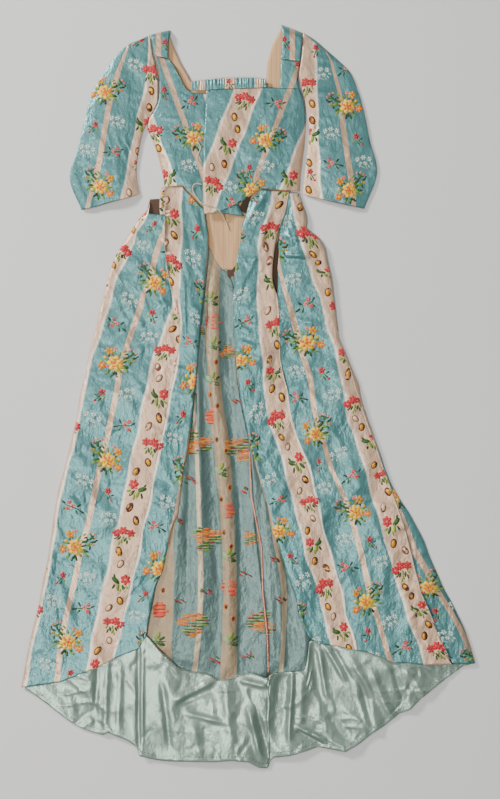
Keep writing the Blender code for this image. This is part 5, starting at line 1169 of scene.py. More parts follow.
def sleeve_place(label, x, y):
    lines = [np.array(p, float) for p in SLEEVE_LINES[label]]
    xs = np.stack([np.interp(-y, -p[:, 1], p[:, 0]) for p in lines], axis=-1)
    values = np.array(SLEEVE_U[label])
    out = np.empty_like(x)
    flat_x, flat_l = x.ravel(), xs.reshape(-1, 4)
    res = np.empty(len(flat_x))
    for i in range(len(flat_x)):
        line = flat_l[i]
        if label == "right":
            res[i] = np.interp(flat_x[i], line[::-1], values[::-1])
        else:
            res[i] = np.interp(flat_x[i], line, values)
    out = res.reshape(x.shape)
    return out


SLEEVE_FOLDS = {
    "left": ((-21.5, 70.5, -26.0, 72.5, 0.6, 1.3), (-21.3, 66.0, -26.5, 66.5, 0.6, 1.1), (-22.5, 61.5, -28.0, 60.0, 0.7, 1.0), (-33.0, 66.0, -29.0, 62.0, 0.8, 0.8), (-36.5, 52.0, -31.0, 50.0, 0.7, 1.0),
             (-26.0, 55.0, -30.5, 52.5, 0.6, 0.9), (-25.0, 49.0, -31.0, 47.6, 0.3, -0.9), (-34.5, 47.0, -30.0, 44.5, 0.7, 0.8), (-24.6, 74.0, -30.5, 73.0, 0.6, 0.8)),
    "right": ((12.5, 71.0, 17.5, 73.0, 0.6, 1.3), (12.8, 66.5, 18.0, 67.0, 0.6, 1.1), (13.8, 62.0, 19.0, 60.5, 0.7, 1.0), (24.0, 66.0, 20.0, 62.0, 0.8, 0.8), (26.5, 52.5, 21.5, 50.0, 0.7, 1.0),
              (15.0, 55.5, 20.0, 53.0, 0.6, 0.9), (12.8, 52.3, 16.5, 51.8, 0.3, -0.9), (24.5, 47.5, 20.0, 45.0, 0.7, 0.8), (16.0, 74.5, 21.0, 73.0, 0.6, 0.8)),
}
for label, table in (("left", SLEEVE_LEFT), ("right", SLEEVE_RIGHT)):
    rows = np.array([[list(p) for p in row[1:6]] for row in table], float)
    loft = np.array([row[6] for row in table], float)
    chord = np.linalg.norm(np.diff(rows, axis=0), axis=2).mean(axis=1)
    knots = np.concatenate(([0.0], np.cumsum(chord)))
    steps = np.linspace(0, knots[-1], 110)
    guides = np.array([hermite(knots, rows[:, j], steps) for j in range(5)])
    lofts = np.interp(steps, knots, loft)
    t = np.linspace(0, 1, 56)
    t = 0.5 - 0.5 * np.cos(math.pi * t) * (0.6 + 0.4 * np.abs(np.cos(math.pi * t)))
    t = (t - t[0]) / (t[-1] - t[0])
    along_t = np.array([[np.interp(q * 4, range(5), guides[:, r, 0]) for q in t] for r in range(len(steps))])
    along_y = np.array([[np.interp(q * 4, range(5), guides[:, r, 1]) for q in t] for r in range(len(steps))])
    fold = 3.6
    z = fold + (lofts[:, None] - fold) * np.sin(math.pi * t)[None, :] ** 0.62
    damp = np.clip(np.sin(math.pi * t) * 1.8, 0, 1)[None, :]
    z = z + (1.8 * creases(along_t, along_y, SLEEVE_FOLDS[label]) + crumple(161 if label == "left" else 181, along_t, along_y, 3.2)) * damp
    z = np.clip(z, 2.4, 14.2)
    u = sleeve_place(label, along_t, along_y)
    v = -along_y
    remember("sleeve_" + label, along_t, along_y, z, along_t, -along_y)
    t2 = np.linspace(1, 0, 16)[1:-1]
    low_x = np.array([[np.interp(q * 4, range(5), guides[:, r, 0]) for q in t2] for r in range(len(steps))])
    low_y = np.array([[np.interp(q * 4, range(5), guides[:, r, 1]) for q in t2] for r in range(len(steps))])
    edge_z = 1.9
    ring_x = np.concatenate([along_t, low_x], 1)
    ring_y = np.concatenate([along_y, low_y], 1)
    ring_z = np.concatenate([z, np.full_like(low_x, 0.0)], 1)
    width = np.abs(guides[4, :, 0] - guides[0, :, 0])
    mid_x, mid_y = (guides[0, :, 0] + guides[4, :, 0]) / 2, (guides[0, :, 1] + guides[4, :, 1]) / 2
    shrink = 0.985
    in_x = mid_x[:, None] + (ring_x - mid_x[:, None]) * shrink
    in_y = mid_y[:, None] + (ring_y - mid_y[:, None]) * shrink
    in_z = np.concatenate([np.maximum(z - 1.0, 1.25), np.full_like(low_x, 1.1)], 1)
    m, nn = ring_x.shape[1], len(steps)
    ru = np.concatenate([u, sleeve_place(label, low_x, low_y)], 1)
    points = np.concatenate([world(ring_x, ring_y, ring_z).reshape(-1, 3), world(in_x, in_y, in_z).reshape(-1, 3)])
    uv = np.stack([ru / 10, -ring_y / 10], -1).reshape(-1, 2)
    uv = np.concatenate([uv, uv])
    ids = np.arange(nn * m).reshape(nn, m)
    nxt = np.roll(ids, -1, axis=1)
    base = nn * m
    flip = label == "right"
    outer = np.stack([ids[:-1], ids[1:], nxt[1:], nxt[:-1]], -1).reshape(-1, 4)
    inner = np.stack([ids[:-1], nxt[:-1], nxt[1:], ids[1:]], -1).reshape(-1, 4) + base
    cap0 = np.stack([ids[0], nxt[0], nxt[0] + base, ids[0] + base], -1)
    cap1 = np.stack([ids[-1], ids[-1] + base, nxt[-1] + base, nxt[-1]], -1)
    faces = np.concatenate([outer, inner, cap0, cap1])
    if flip:
        faces = faces[:, ::-1]
    which = np.zeros(len(faces), int)
    which[len(outer):len(outer) + len(inner)] = 1
    piece = mesh_from("%s_sleeve" % label, points, faces, uv, [MAT["silk_brocade"], MAT["strap_linen"]], index=which)
    finish_piece(piece, ["sleeve_" + label])


# pleat of the back showing beside the left pocket
t = np.linspace(0, 1, 22)[:, None]
q = np.linspace(0, 1, 9)[None, :]
y = 46.0 - 6.6 * t + 0 * q
x = (-19.15 - 0.5 * np.sin(2.6 * t) * 0.6) + (1.55 - 0.25 * t) * q
z = 5.6 + 1.1 * np.sin(np.pi * q) + 0.3 * lattice_noise(231, x, y, 1.2)
made = shell_arrays(x, y, z, (x + 18.4) * 1.0, -y, 0.9)
piece = mesh_from("pleat_left", *made, [MAT["silk_brocade"]])
piece.parent = bpy.data.objects["skirt_left_front"]
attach(piece, "root")
remember("pleat", x, y, z, x, -y)


# ---------------------------------------------------------------- brocaded flowers
TINT = {
    "yellow": lin(246, 190, 26), "gold": lin(220, 146, 18), "orange": lin(226, 116, 24), "amber": lin(188, 98, 20), "coral": lin(202, 44, 50),
    "salmon": lin(226, 90, 80), "red": lin(190, 26, 42), "deep": lin(118, 16, 36), "pink": lin(234, 128, 116), "green": lin(44, 88, 30), "dark": lin(24, 56, 28),
    "lime": lin(116, 146, 36), "white": lin(250, 250, 238), "brown": lin(84, 42, 26), "cream": lin(232, 196, 156), "mint": lin(126, 166, 116), "rust": lin(128, 74, 56), "pale": lin(196, 216, 206),
}


def petals(cx, cy, radius, count, size, colour, layer=1, turn=0.0):
    """A ring of rounded petals."""
    out = []
    for i in range(count):
        a = turn + 2 * math.pi * i / count
        out.append((cx + radius * math.cos(a), cy + radius * math.sin(a), size, size * 0.72, a, colour, layer))
    return out


def leaf(cx, cy, length, width, angle, colour="green", layer=0):
    return [(cx, cy, length / 2, width / 2, math.radians(angle), colour, layer)]


def stem(x0, y0, x1, y1, colour="green", width=0.13):
    return [((x0 + x1) / 2, (y0 + y1) / 2, math.hypot(x1 - x0, y1 - y0) / 2, width, math.atan2(y1 - y0, x1 - x0), colour, 0)]


def small_flower(cx, cy, r, colour, heart="yellow", layer=1, count=5, turn=0.3):
    return petals(cx, cy, r * 0.55, count, r * 0.5, colour, layer, turn) + [(cx, cy, r * 0.3, r * 0.3, 0, heart, layer + 1)]


def rose(cx, cy, r, outer="yellow", middle="orange", heart="coral"):
    out = petals(cx, cy, r * 0.62, 7, r * 0.46, outer, 2, 0.2)
    out += petals(cx, cy, r * 0.72, 4, r * 0.2, "cream", 3, 0.5)
    out += petals(cx, cy, r * 0.38, 5, r * 0.40, outer, 3, 0.6)
    out += petals(cx, cy, r * 0.5, 5, r * 0.17, middle, 4, 1.1)
    out += petals(cx, cy, r * 0.16, 4, r * 0.24, middle, 4, 0.1)
    out += [(cx + r * 0.46 * math.cos(a), cy + r * 0.46 * math.sin(a), r * 0.17, r * 0.06, a + 1.57, heart, 5) for a in (0.3, 1.5, 2.6, 3.9, 5.2)]
    out += [(cx, cy, r * 0.13, r * 0.11, 0, heart, 5)]
    return out


def bouquet():
    """Rose on the right of its stem; the other hand is its mirror."""
    m = stem(-0.8, -0.6, -3.2, -3.0) + stem(0.2, -1.2, 0.7, -2.8, "lime") + stem(-0.6, 0.9, -2.2, 0.5, "lime", 0.1) + stem(0.3, 1.2, 1.2, 2.3, "green", 0.1)
    m += leaf(-1.7, -1.5, 1.3, 0.55, 30) + leaf(-2.4, -0.95, 1.2, 0.5, 160, "lime") + leaf(-2.7, -2.5, 1.2, 0.5, 60) + leaf(-3.3, -1.8, 1.1, 0.45, 15, "dark")
    m += leaf(-2.1, 0.25, 1.4, 0.55, 170) + leaf(-2.5, 0.95, 1.1, 0.45, 140, "lime") + leaf(0.1, 2.3, 1.2, 0.5, 80) + leaf(-0.7, 2.05, 1.2, 0.5, 120, "dark") + leaf(1.1, 2.1, 1.0, 0.45, 30, "lime")
    m += leaf(1.0, -1.7, 1.0, 0.4, -50) + leaf(-0.4, -2.0, 1.0, 0.4, -110, "lime") + leaf(2.6, 0.2, 0.9, 0.35, 20, "mint")
    for i, (a, b) in enumerate(((-1.6, -2.3), (-3.0, -1.4), (-2.1, -2.0), (-3.2, -2.6), (-1.2, -2.8), (-2.9, -0.5), (-2.5, -3.1), (-1.2, -1.5), (-3.8, -2.2))):
        m += leaf(a, b, 0.85, 0.36, 35 + 47 * i, ("green", "lime", "dark")[i % 3])
    for i, a in enumerate((15, 62, 100, 135, 168, 200, 322, 350)):
        m += leaf(1.75 * math.cos(math.radians(a)), 1.75 * math.sin(math.radians(a)), 1.15, 0.46, a + (20 if i % 2 else -25), ("lime", "green", "dark", "lime")[i % 4])
    m += rose(0, 0, 1.5)
    m += small_flower(1.6, -2.1, 0.85, "gold", "amber") + small_flower(2.35, 1.05, 0.78, "orange", "yellow") + [(2.1, -0.65, 0.33, 0.27, 0.4, "yellow", 1)]
    m += small_flower(0.65, -2.85, 0.42, "pink", "red") + [(-3.0, -3.4, 0.3, 0.24, 0.3, "pink", 1), (-3.55, -2.85, 0.3, 0.22, 1.0, "salmon", 1), (-2.15, -3.45, 0.28, 0.22, 0.2, "pink", 1), (-3.45, -1.25, 0.28, 0.22, 0.6, "orange", 1)]
    m += [(1.3, 0.9, 0.3, 0.24, 0.4, "salmon", 5), (-0.95, -0.7, 0.25, 0.2, 0.4, "salmon", 5)]
    return m


def rosebud():
    m = stem(0.1, 0.3, 0.9, 1.5) + leaf(0.2, 1.3, 0.9, 0.36, 60) + leaf(0.95, 0.5, 0.7, 0.3, -20, "dark") + leaf(-0.5, 0.75, 0.7, 0.3, 130, "lime")
    m += petals(0, -0.2, 0.36, 5, 0.34, "coral", 1) + petals(0, -0.2, 0.16, 4, 0.24, "deep", 2, 0.4) + [(0.95, 1.6, 0.3, 0.24, 0.8, "red", 1), (0.1, -0.15, 0.1, 0.1, 0, "pink", 3)]
    return m


def white_spray():
    m = []
    for cx, cy, r in ((-1.35, -0.35, 0.6), (-0.1, -0.65, 0.62), (1.15, -0.2, 0.6), (0.2, 0.6, 0.52), (-0.8, 0.55, 0.4)):
        for i in range(6):
            a = 0.2 + cx + 2 * math.pi * i / 6
            m.append((cx + r * 0.55 * math.cos(a), cy + r * 0.55 * math.sin(a), r * 0.42, r * 0.2, a, "white" if i % 3 == 0 else "pale", 1))
    m += stem(-1.6, 0.7, 0.2, 1.7, "pale", 0.05) + stem(0.2, 0.9, 0.5, 1.9, "pale", 0.05) + leaf(1.5, 0.8, 0.8, 0.2, 40, "pale") + leaf(-1.0, 1.1, 0.7, 0.18, 120, "pale") + leaf(0.9, 1.3, 0.7, 0.18, 70, "pale")
    return m


def berry_spray():
    m = stem(-1.6, 0.5, 1.5, -0.2) + leaf(-1.7, 0.65, 1.1, 0.4, 160, "dark") + leaf(-1.0, -0.45, 1.0, 0.38, 230, "dark") + leaf(-0.8, 0.95, 0.95, 0.36, 120) + leaf(1.6, -0.55, 0.9, 0.36, -40, "dark") + leaf(1.3, 0.7, 0.8, 0.3, 50, "green")
    m += small_flower(0.1, -0.1, 0.52, "pink", "red") + small_flower(0.85, 0.55, 0.45, "salmon", "red") + small_flower(0.75, -0.75, 0.42, "coral", "pink")
    return m


def cluster():
    m = leaf(-0.5, 1.4, 1.2, 0.45, 70) + leaf(0.1, 1.9, 1.1, 0.45, 100, "lime") + leaf(0.65, 1.35, 1.1, 0.42, 60, "dark") + leaf(-1.2, 1.0, 0.9, 0.36, 120, "lime") + leaf(1.3, 1.5, 0.8, 0.34, 30) + leaf(-0.9, 1.9, 1.0, 0.4, 95, "green") + leaf(0.5, 2.4, 0.9, 0.36, 80, "lime") + leaf(-0.1, 1.0, 1.0, 0.4, 90, "lime") + leaf(0.9, 1.0, 0.9, 0.36, 50, "green")
    m += small_flower(-1.35, -0.2, 0.88, "coral", "pink", 1, 6) + small_flower(0.15, -0.45, 0.92, "coral", "salmon", 2, 6) + small_flower(1.35, 0.3, 0.88, "red", "pink", 1, 6)
    m += petals(0.15, -0.45, 0.22, 4, 0.2, "red", 3) + petals(-1.35, -0.2, 0.2, 4, 0.17, "deep", 3)
    return m


def wide_rose():
    m = small_flower(0.8, -0.5, 1.0, "coral", "pink", 1, 6) + petals(0.8, -0.5, 0.32, 4, 0.28, "red", 2)
    m += leaf(-1.0, 0.1, 1.9, 0.9, 25, "green") + leaf(-0.3, 1.15, 1.6, 0.65, 75, "lime") + leaf(0.85, 1.2, 1.6, 0.62, 55, "green") + leaf(-1.1, 1.3, 1.1, 0.45, 110, "dark") + leaf(0.3, 1.9, 1.1, 0.42, 95, "lime") + leaf(1.5, 0.9, 1.0, 0.4, 20, "lime") + leaf(-1.4, -0.6, 0.9, 0.4, 60, "dark")
    return m


def oval(fill):
    if fill == "cream":
        return [(0, 0, 0.62, 0.92, -0.45, "rust", 1), (0.03, 0.03, 0.42, 0.68, -0.45, "cream", 2)]
    # the small yellow spot over the gold is a painted highlight
    return [(0, 0, 0.66, 0.98, -0.45, "brown", 1), (0.06, 0.05, 0.42, 0.7, -0.45, "gold" if fill == "gold" else "amber", 2), (0.12, -0.12, 0.16, 0.3, -0.45, "yellow", 3)]


def float_bars(seed):
    """Reverse of a bouquet: loose threads in bars, gathered in gold and green bands."""
    g = np.random.default_rng(seed)
    m = []
    for i in range(18):
        row = -2.6 + 0.3 * i
        for k in range(5):
            x = -2.5 + 1.25 * k + g.uniform(-0.3, 0.3)
            turn = math.atan2(row, x)
            if math.hypot(x, row * 1.1) > 2.75 + 0.55 * math.sin(3 * turn + seed) + g.uniform(-0.25, 0.25):
                continue
            warm = math.sin(1.35 * row + 0.75 * x + 1.3 * seed) > -0.1
            colour = ("orange", "amber", "orange", "gold")[(i + k) % 4] if warm else ("green", "lime", "deep", "mint")[(i + 2 * k) % 4]
            m.append((x, row + g.uniform(-0.06, 0.06), g.uniform(0.6, 1.0), g.uniform(0.1, 0.17), g.uniform(-0.05, 0.05), colour, 1 + (k + i) % 2))
    return m


def reverse_spot(kind, seed):
    g = np.random.default_rng(seed)
    m = []
    if kind == "coral":
        for i in range(12):
            row = -1.1 + 0.19 * i
            m.append((g.uniform(-0.25, 0.25), row, 1.25 * math.sqrt(max(0.1, 1 - (row / 1.3) ** 2)) * g.uniform(0.8, 1.1), 0.13, 0.0, ("salmon", "orange", "coral")[i % 3], 1))
    elif kind == "leaf":
        m = leaf(-0.6, 0, 1.6, 0.8, 60, "mint") + leaf(0.5, 0.6, 1.5, 0.7, 20, "green") + leaf(0.1, -0.8, 1.3, 0.6, 110, "lime") + leaf(0.7, -0.3, 1.2, 0.5, 150, "green") + [(0.1, 0.2, 1.3, 0.1, 0, "green", 1)]
    elif kind == "berry":
        for i in range(6):
            m.append((g.uniform(-0.9, 0.9), g.uniform(-0.5, 0.5), 0.55, 0.14, 0.5, ("red", "green", "deep")[i % 3], 1))
    else:
        m = [(0, 0, 0.4, 0.55, 0, "amber", 1), (0, 0, 0.24, 0.36, 0, "brown", 2)]
    return m


PATCHES = {}


def lay(label, cx, cy, elements, mirror=False, turn=0.0, size=1.1, group=None):
    """Lay a motif on a cloth: every petal is a small domed patch bent to the surface."""
    tree, tris, flat, solid = FABRIC[label]
    ct, st = math.cos(turn), math.sin(turn)

    def on_cloth(px, py):
        hit = tree.ray_cast(Vector((px, py, 5.0)), Vector((0, 0, -1)))
        if hit[0] is None:
            return None
        t = tris[hit[2]]
        a, b, c = flat[t[0]], flat[t[1]], flat[t[2]]
        d = (b[1] - c[1]) * (a[0] - c[0]) + (c[0] - b[0]) * (a[1] - c[1])
        if abs(d) < 1e-12:
            return None
        w0 = ((b[1] - c[1]) * (px - c[0]) + (c[0] - b[0]) * (py - c[1])) / d
        w1 = ((c[1] - a[1]) * (px - c[0]) + (a[0] - c[0]) * (py - c[1])) / d
        return solid[t[0]] * w0 + solid[t[1]] * w1 + solid[t[2]] * (1 - w0 - w1)

    store = PATCHES.setdefault(group or label, ([], [], [], []))
    points, faces, uvs, tints = store
    for ex, ey, rx, ry, angle, colour, layer in elements:
        if mirror:
            ex, angle = -ex, math.pi - angle
        sides = 8 if max(rx, ry) < 0.35 else 12
        ca, sa = math.cos(angle), math.sin(angle)
        centre = on_cloth(cx + size * (ex * ct - ey * st), cy + size * (ex * st + ey * ct))
        if centre is None:
            continue
        lift = (0.22 + 0.07 * layer) * MM
        tone = np.array(TINT[colour])
        shade = 1.0 + 0.12 * math.sin(ex * 7.1 + ey * 5.3)
        base = len(points)
        points.append(centre + np.array((0, 0, lift + 0.09 * MM)))
        uvs.append((cx + ex, cy + ey))
        # each petal's centre is painted 4% lighter and its rim 6% darker: painted shading of the domed patch
        tints.append((*np.clip(tone[:3] * shade * 1.04, 0, 1), 1.0))
        ring = []
        for k in range(sides):
            a = 2 * math.pi * k / sides
            lx, ly = rx * math.cos(a) * size, ry * math.sin(a) * size
            gx = ex * size + lx * ca - ly * sa
            gy = ey * size + lx * sa + ly * ca
            for shrink in (1.0, 0.75, 0.5, 0.25):
                qx, qy = ex * size + (gx - ex * size) * shrink, ey * size + (gy - ey * size) * shrink
                p = on_cloth(cx + qx * ct - qy * st, cy + qx * st + qy * ct)
                if p is not None:
                    break
            if p is None:
                p = centre
            ring.append(p + np.array((0, 0, lift)))
            uvs.append((cx + qx, cy + qy))
            tints.append((*np.clip(tone[:3] * shade * 0.94, 0, 1), 1.0))
        points.extend(ring)
        low = base + 1 + sides
        for p in ring:
            points.append(p - np.array((0, 0, lift + 0.25 * MM)))
        uvs.extend(uvs[-sides:])
        tints.extend(tints[-sides:])
        for k in range(sides):
            m = (k + 1) % sides
            faces.append((base, base + 1 + k, base + 1 + m))
            faces.append((base + 1 + k, low + k, low + m, base + 1 + m))
        faces.append(tuple(low + k for k in range(sides - 1, -1, -1)))


def repeat(label, columns, v_range, half=20.0):
    """The woven repeat on a skirt front: bouquets along narrow stripes, wide-stripe flowers between."""
    lo, hi = v_range
    first = int(math.floor(lo / half)) - 1
    for m in range(first, int(hi / half) + 2):
        v0 = m * half
        odd = m % 2 == 1                      # odd rows: rose to the right of the stripe
        for k in columns:
            stripe = 9.1 + 18.2 * k
            lay(label, stripe + (1.4 if odd else -1.4), v0, bouquet(), mirror=not odd)
            if odd:
                lay(label, stripe - 2.3, v0 + 5.2, white_spray(), turn=0.2)
                lay(label, stripe - 3.6, v0 + 11.5, berry_spray(), mirror=True)
                lay(label, stripe + 2.7, v0 + 6.8, rosebud())
                lay(label, stripe + 3.8, v0 + 12.0, white_spray(), mirror=True, turn=-0.2)
            else:
                lay(label, stripe - 2.8, v0 + 6.6, rosebud(), mirror=True)
                lay(label, stripe - 3.6, v0 + 12.1, white_spray(), turn=0.15)
                lay(label, stripe + 2.3, v0 + 5.7, white_spray(), mirror=True, turn=-0.2)
                lay(label, stripe + 3.2, v0 + 12.0, berry_spray())
        for k in sorted(set(list(columns) + [c + 1 for c in columns])):
            wide = 18.2 * k
            s = 1 if odd else -1
            lay(label, wide + 1.0 * s, v0 - 5.7, cluster(), mirror=not odd)
            lay(label, wide + (0.9 if odd else -1.3), v0 - 1.3, oval("gold" if (m + k) % 3 else "cream"))
            lay(label, wide + (-1.2 if odd else -0.5), v0 + 1.2, oval("gold" if (m + k) % 2 else "cream"), mirror=True)
            lay(label, wide + (-0.4 if odd else 0.4), v0 + 4.6, wide_rose(), mirror=odd)
            lay(label, wide + (-1.2 if odd else 1.2), v0 + 8.8, oval("gold"), mirror=odd)
            lay(label, wide + (0.9 if odd else -0.7), v0 + 10.9, oval("gold" if (m + k) % 2 else "cream"), mirror=not odd)


repeat("front_left", (-2, -1, 0), (-60, 90))
repeat("front_right", (-1, 0, 1, 2), (-40, 110))


def at_level(px, py):
    return (px - 248.15) * 0.22, -(397.2 - py) * 0.22


for label, items in {
    "bodice_left": ((bouquet, 194, 139, False, -0.3), (berry_spray, 190, 103, False, -0.3), (rosebud, 164, 91, False, 0.3), (white_spray, 190, 165, False, 0), (cluster, 153, 131, False, -0.3),
                    ((lambda: oval("gold")), 158.6, 148.5, False, 0), (wide_rose, 168, 176, True, -0.2)),
    "bodice_right": ((cluster, 245, 99.5, True, 0.35), ((lambda: oval("gold")), 234.5, 118, False, 0.3), ((lambda: oval("gold")), 237.6, 130, False, 0.3), (wide_rose, 228, 145, False, 0.35), ((lambda: oval("amber")), 224.3, 164.8, False, 0.3),
                     ((lambda: oval("cream")), 212, 168, False, 0.3), (cluster, 214, 184, False, 0.35), (bouquet, 265, 141, True, 0.35), (bouquet, 251.5, 191, False, 0.3), (berry_spray, 276, 104, False, 0.3), (rosebud, 249, 169, False, 0.3),
                     (berry_spray, 234, 204, True, 0.2), (white_spray, 230, 187, False, 0.3), (white_spray, 266, 166, True, 0.3), (wide_rose, 289, 177, False, 0.3)),
    "bodice_tab": ((rosebud, 297.5, 66, False, 0),),
    "strap_left": ((rosebud, 165, 44, False, 0),),
    "strap_right": ((rosebud, 284, 41, False, 0),),
    "sleeve_left": ((bouquet, 105, 93, True, 0.25), (bouquet, 101, 187, False, 0.25), (rosebud, 95.7, 126, True, 0.2), (white_spray, 118, 122, False, 0.2), (white_spray, 136, 65, False, 0.4), (white_spray, 88, 150, False, 0.2),
                    (berry_spray, 114, 152, False, 0.2), (cluster, 152.5, 72, False, 0.2), ((lambda: oval("gold")), 151.5, 91.5, False, 0.2), ((lambda: oval("gold")), 149.5, 108, False, 0.2), (wide_rose, 144, 124, False, 0.2),
                    ((lambda: oval("gold")), 138.5, 152, False, 0.2), (rosebud, 136.5, 164, False, 0.2), (rosebud, 141, 41, True, 0.5), ((lambda: oval("cream")), 129.5, 193, False, 0.2)),
    "sleeve_right": ((bouquet, 347, 107, False, -0.25), (bouquet, 349, 191, True, -0.15), (rosebud, 356, 138, False, -0.2), (rosebud, 316, 49, True, -0.3), (berry_spray, 332.5, 164, True, -0.1), (white_spray, 331.5, 133, False, -0.1),
                     (white_spray, 364, 161, False, -0.1), (white_spray, 322, 73, False, -0.3), (berry_spray, 345.5, 69, False, -0.4), (cluster, 306, 85, True, -0.1), ((lambda: oval("gold")), 312, 104.5, False, 0), ((lambda: oval("brown")), 312, 121, False, 0),
                     (wide_rose, 311, 134, True, 0), ((lambda: oval("gold")), 309, 163, False, 0), (rosebud, 310, 173, False, 0), ((lambda: oval("gold")), 308.5, 190, False, 0)),
    "casing": ((rosebud, 229, 83, False, 0),),
}.items():
    for motif, px, py, mirror, turn in items:
        lay(label, *at_level(px, py), motif(), mirror=mirror, turn=turn, size=1.04)

for seed, px, py in ((1, 197.3, 443), (2, 206.5, 538), (3, 192.8, 624), (4, 240, 449), (5, 262, 622), (6, 196, 330), (7, 229, 352), (8, 251, 538)):
    lay("back_left", *at_level(px, py), float_bars(seed), size=1.05 if seed < 6 else 0.6, group="back_left")
    lay("back_right", *at_level(px, py), float_bars(seed), size=1.05 if seed < 6 else 0.6, group="back_right")
for i, (kind, px, py) in enumerate((("coral", 212.7, 416.6), ("coral", 227.4, 510.6), ("coral", 229, 588), ("leaf", 212.7, 380), ("leaf", 221.5, 471), ("leaf", 229, 556), ("leaf", 231, 640), ("oval", 209.8, 394.6), ("oval", 217.2, 405.6),
                                    ("oval", 216.5, 439.4), ("oval", 226, 450.4), ("oval", 229.7, 487), ("oval", 221, 498.9), ("oval", 224, 532), ("oval", 231, 546), ("oval", 226, 606), ("oval", 233, 618), ("coral", 213, 322), ("leaf", 211, 300),
                                    ("berry", 194, 392), ("berry", 190, 480), ("berry", 236, 400), ("berry", 243, 490), ("berry", 181, 520), ("berry", 206, 592), ("berry", 246, 575), ("berry", 180, 600), ("coral", 160, 610), ("leaf", 158, 640),
                                    ("oval", 163, 590), ("berry", 282, 600), ("berry", 275, 560), ("leaf", 214, 345), ("oval", 216, 362), ("berry", 248, 655), ("berry", 214, 660))):
    lay("back_left" if px < 264 else "back_right", *at_level(px, py), reverse_spot(kind, 40 + i), size={"coral": 1.45, "leaf": 1.3}.get(kind, 1.15))

for px, py, kind in ((163.6, 193, "gold"), (162.4, 199, "green"), (163.2, 204, "amber"), (162.0, 209, "dark")):
    lay("pleat", *at_level(px, py), [(-0.1, 0.2, 0.5, 0.28, 0.9, kind, 1), (0.15, -0.35, 0.42, 0.2, -0.6, "brown" if kind in ("gold", "amber") else "lime", 2)], size=1.0)

# dark hand stitches along the top of the facing
edge = np.array([q for q in FACING_EDGE if -22.5 < q[0] < 9.9], float)
run_of = np.concatenate(([0], np.cumsum(np.hypot(*np.diff(edge, axis=0).T))))
for i, t in enumerate(np.arange(0.3, run_of[-1], 0.55)):
    sx, sy = np.interp(t, run_of, edge[:, 0]), np.interp(t, run_of, edge[:, 1])
    nx, ny = np.interp(t + 0.1, run_of, edge[:, 0]) - sx, np.interp(t + 0.1, run_of, edge[:, 1]) - sy
    for label in ("facing_left", "facing_right"):
        lay(label, sx, -sy + 0.3, [(0, 0, 0.24, 0.085, math.atan2(-ny, nx) + 0.3 * math.sin(3 * i), "brown", 0)], size=1.0)
# running stitches of the narrow turned hem
for label, table in (("facing_left", TRAIN_EDGE), ("facing_right", TRAIN_EDGE)):
    edge = np.array(table, float)
    run_of = np.concatenate(([0], np.cumsum(np.hypot(*np.diff(edge, axis=0).T))))
    for i, t in enumerate(np.arange(1.0, run_of[-1], 0.8)):
        sx, sy = np.interp(t, run_of, edge[:, 0]), np.interp(t, run_of, edge[:, 1])
        lay(label, sx, -sy - 1.1, [(0, 0, 0.24, 0.06, 0.0, "green", 0)], size=1.0)

FLOWER_HOME = {"facing_left": "facing_left", "facing_right": "facing_right", "pleat": "skirt_left_front", "front_left": "skirt_left_front", "front_right": "skirt_right_front", "bodice_left": "left_bodice_front", "bodice_right": "right_bodice_front", "bodice_tab": "right_bodice_front",
               "strap_left": "strap_left", "strap_right": "strap_right", "sleeve_left": "left_sleeve", "sleeve_right": "right_sleeve", "casing": "gathered_casing", "back_left": "skirt_left_back", "back_right": "skirt_right_back"}
FLOWERS = 0
for label, (points, faces, uvs, tints) in PATCHES.items():
    piece = mesh_from("flowers_" + label, points, faces, np.array(uvs) / 10.0, [MAT["thread"]], tint=tints)
    piece.parent = bpy.data.objects[FLOWER_HOME[label]]
    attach(piece, "root")
    FLOWERS += sum(len(f) - 2 for f in faces)
print("flower triangles", FLOWERS)


# ---------------------------------------------------------------- small made parts
def ribbon(points, widths, heights, thickness, steps=60):
    """Grid of a narrow strip along a path: across, along, top height."""
    p = np.array(points, float)
    k = np.concatenate(([0], np.cumsum(np.hypot(*np.diff(p[:, :2], axis=0).T))))
    s = np.linspace(0, k[-1], steps)
    px, py = np.interp(s, k, p[:, 0]), np.interp(s, k, p[:, 1])
    w, h = np.interp(s, k, widths), np.interp(s, k, heights)
    dx, dy = np.gradient(px), np.gradient(py)
    n = np.hypot(dx, dy)
    nx, ny = -dy / n, dx / n
    t = np.linspace(-1, 1, 7)
    x = px[:, None] + nx[:, None] * t * w[:, None] / 2
    y = py[:, None] + ny[:, None] * t * w[:, None] / 2
    z = h[:, None] - (t ** 2)[None, :] * 0.5 * min(thickness, 1.0)
    return x, y, z


def height_of(label, x, y):
    """Top of a cloth stored by place, mm."""
    hit = FABRIC[label][0].ray_cast(Vector((x, -y, 5.0)), Vector((0, 0, -1)))
    if hit[0] is None:
        return None
    t = FABRIC[label][1][hit[2]]
    return float(FABRIC[label][3][t, 2].mean() / MM)


# tapes of the joined selvages down the middle of the back
SEAM_LINE = ((-2.9, 27.6), (-1.6, 14.0), (0.27, -9.4), (0.63, -21.2), (2.96, -33.0), (3.27, -43.1), (4.26, -52.5), (4.5, -61.0))
fine = np.linspace(0, 1, 90)
lx = np.interp(-np.interp(fine, (0, 1), (27.6, -61.0)), [-p[1] for p in SEAM_LINE], [p[0] for p in SEAM_LINE])
ly = np.interp(fine, (0, 1), (27.6, -61.0))
place = [(a, b, height_of("back_left", a - 0.45, b), height_of("back_right", a + 0.45, b)) for a, b in zip(lx, ly)]
place = [(a, b, max(q for q in (c, d) if q is not None)) for a, b, c, d in place if c is not None or d is not None]
tops = np.array([q[2] for q in place])
tops = np.convolve(np.pad(tops, 3, mode="edge"), np.ones(7) / 7, "valid") + 0.9
x, y, z = ribbon([(q[0], q[1]) for q in place], np.full(len(place), 0.42), tops, 1.0, 120)
made = shell_arrays(x, y, z, x * 3, -y, 0.9)
piece = mesh_from("selvage_tape", *made, [MAT["selvage"]])
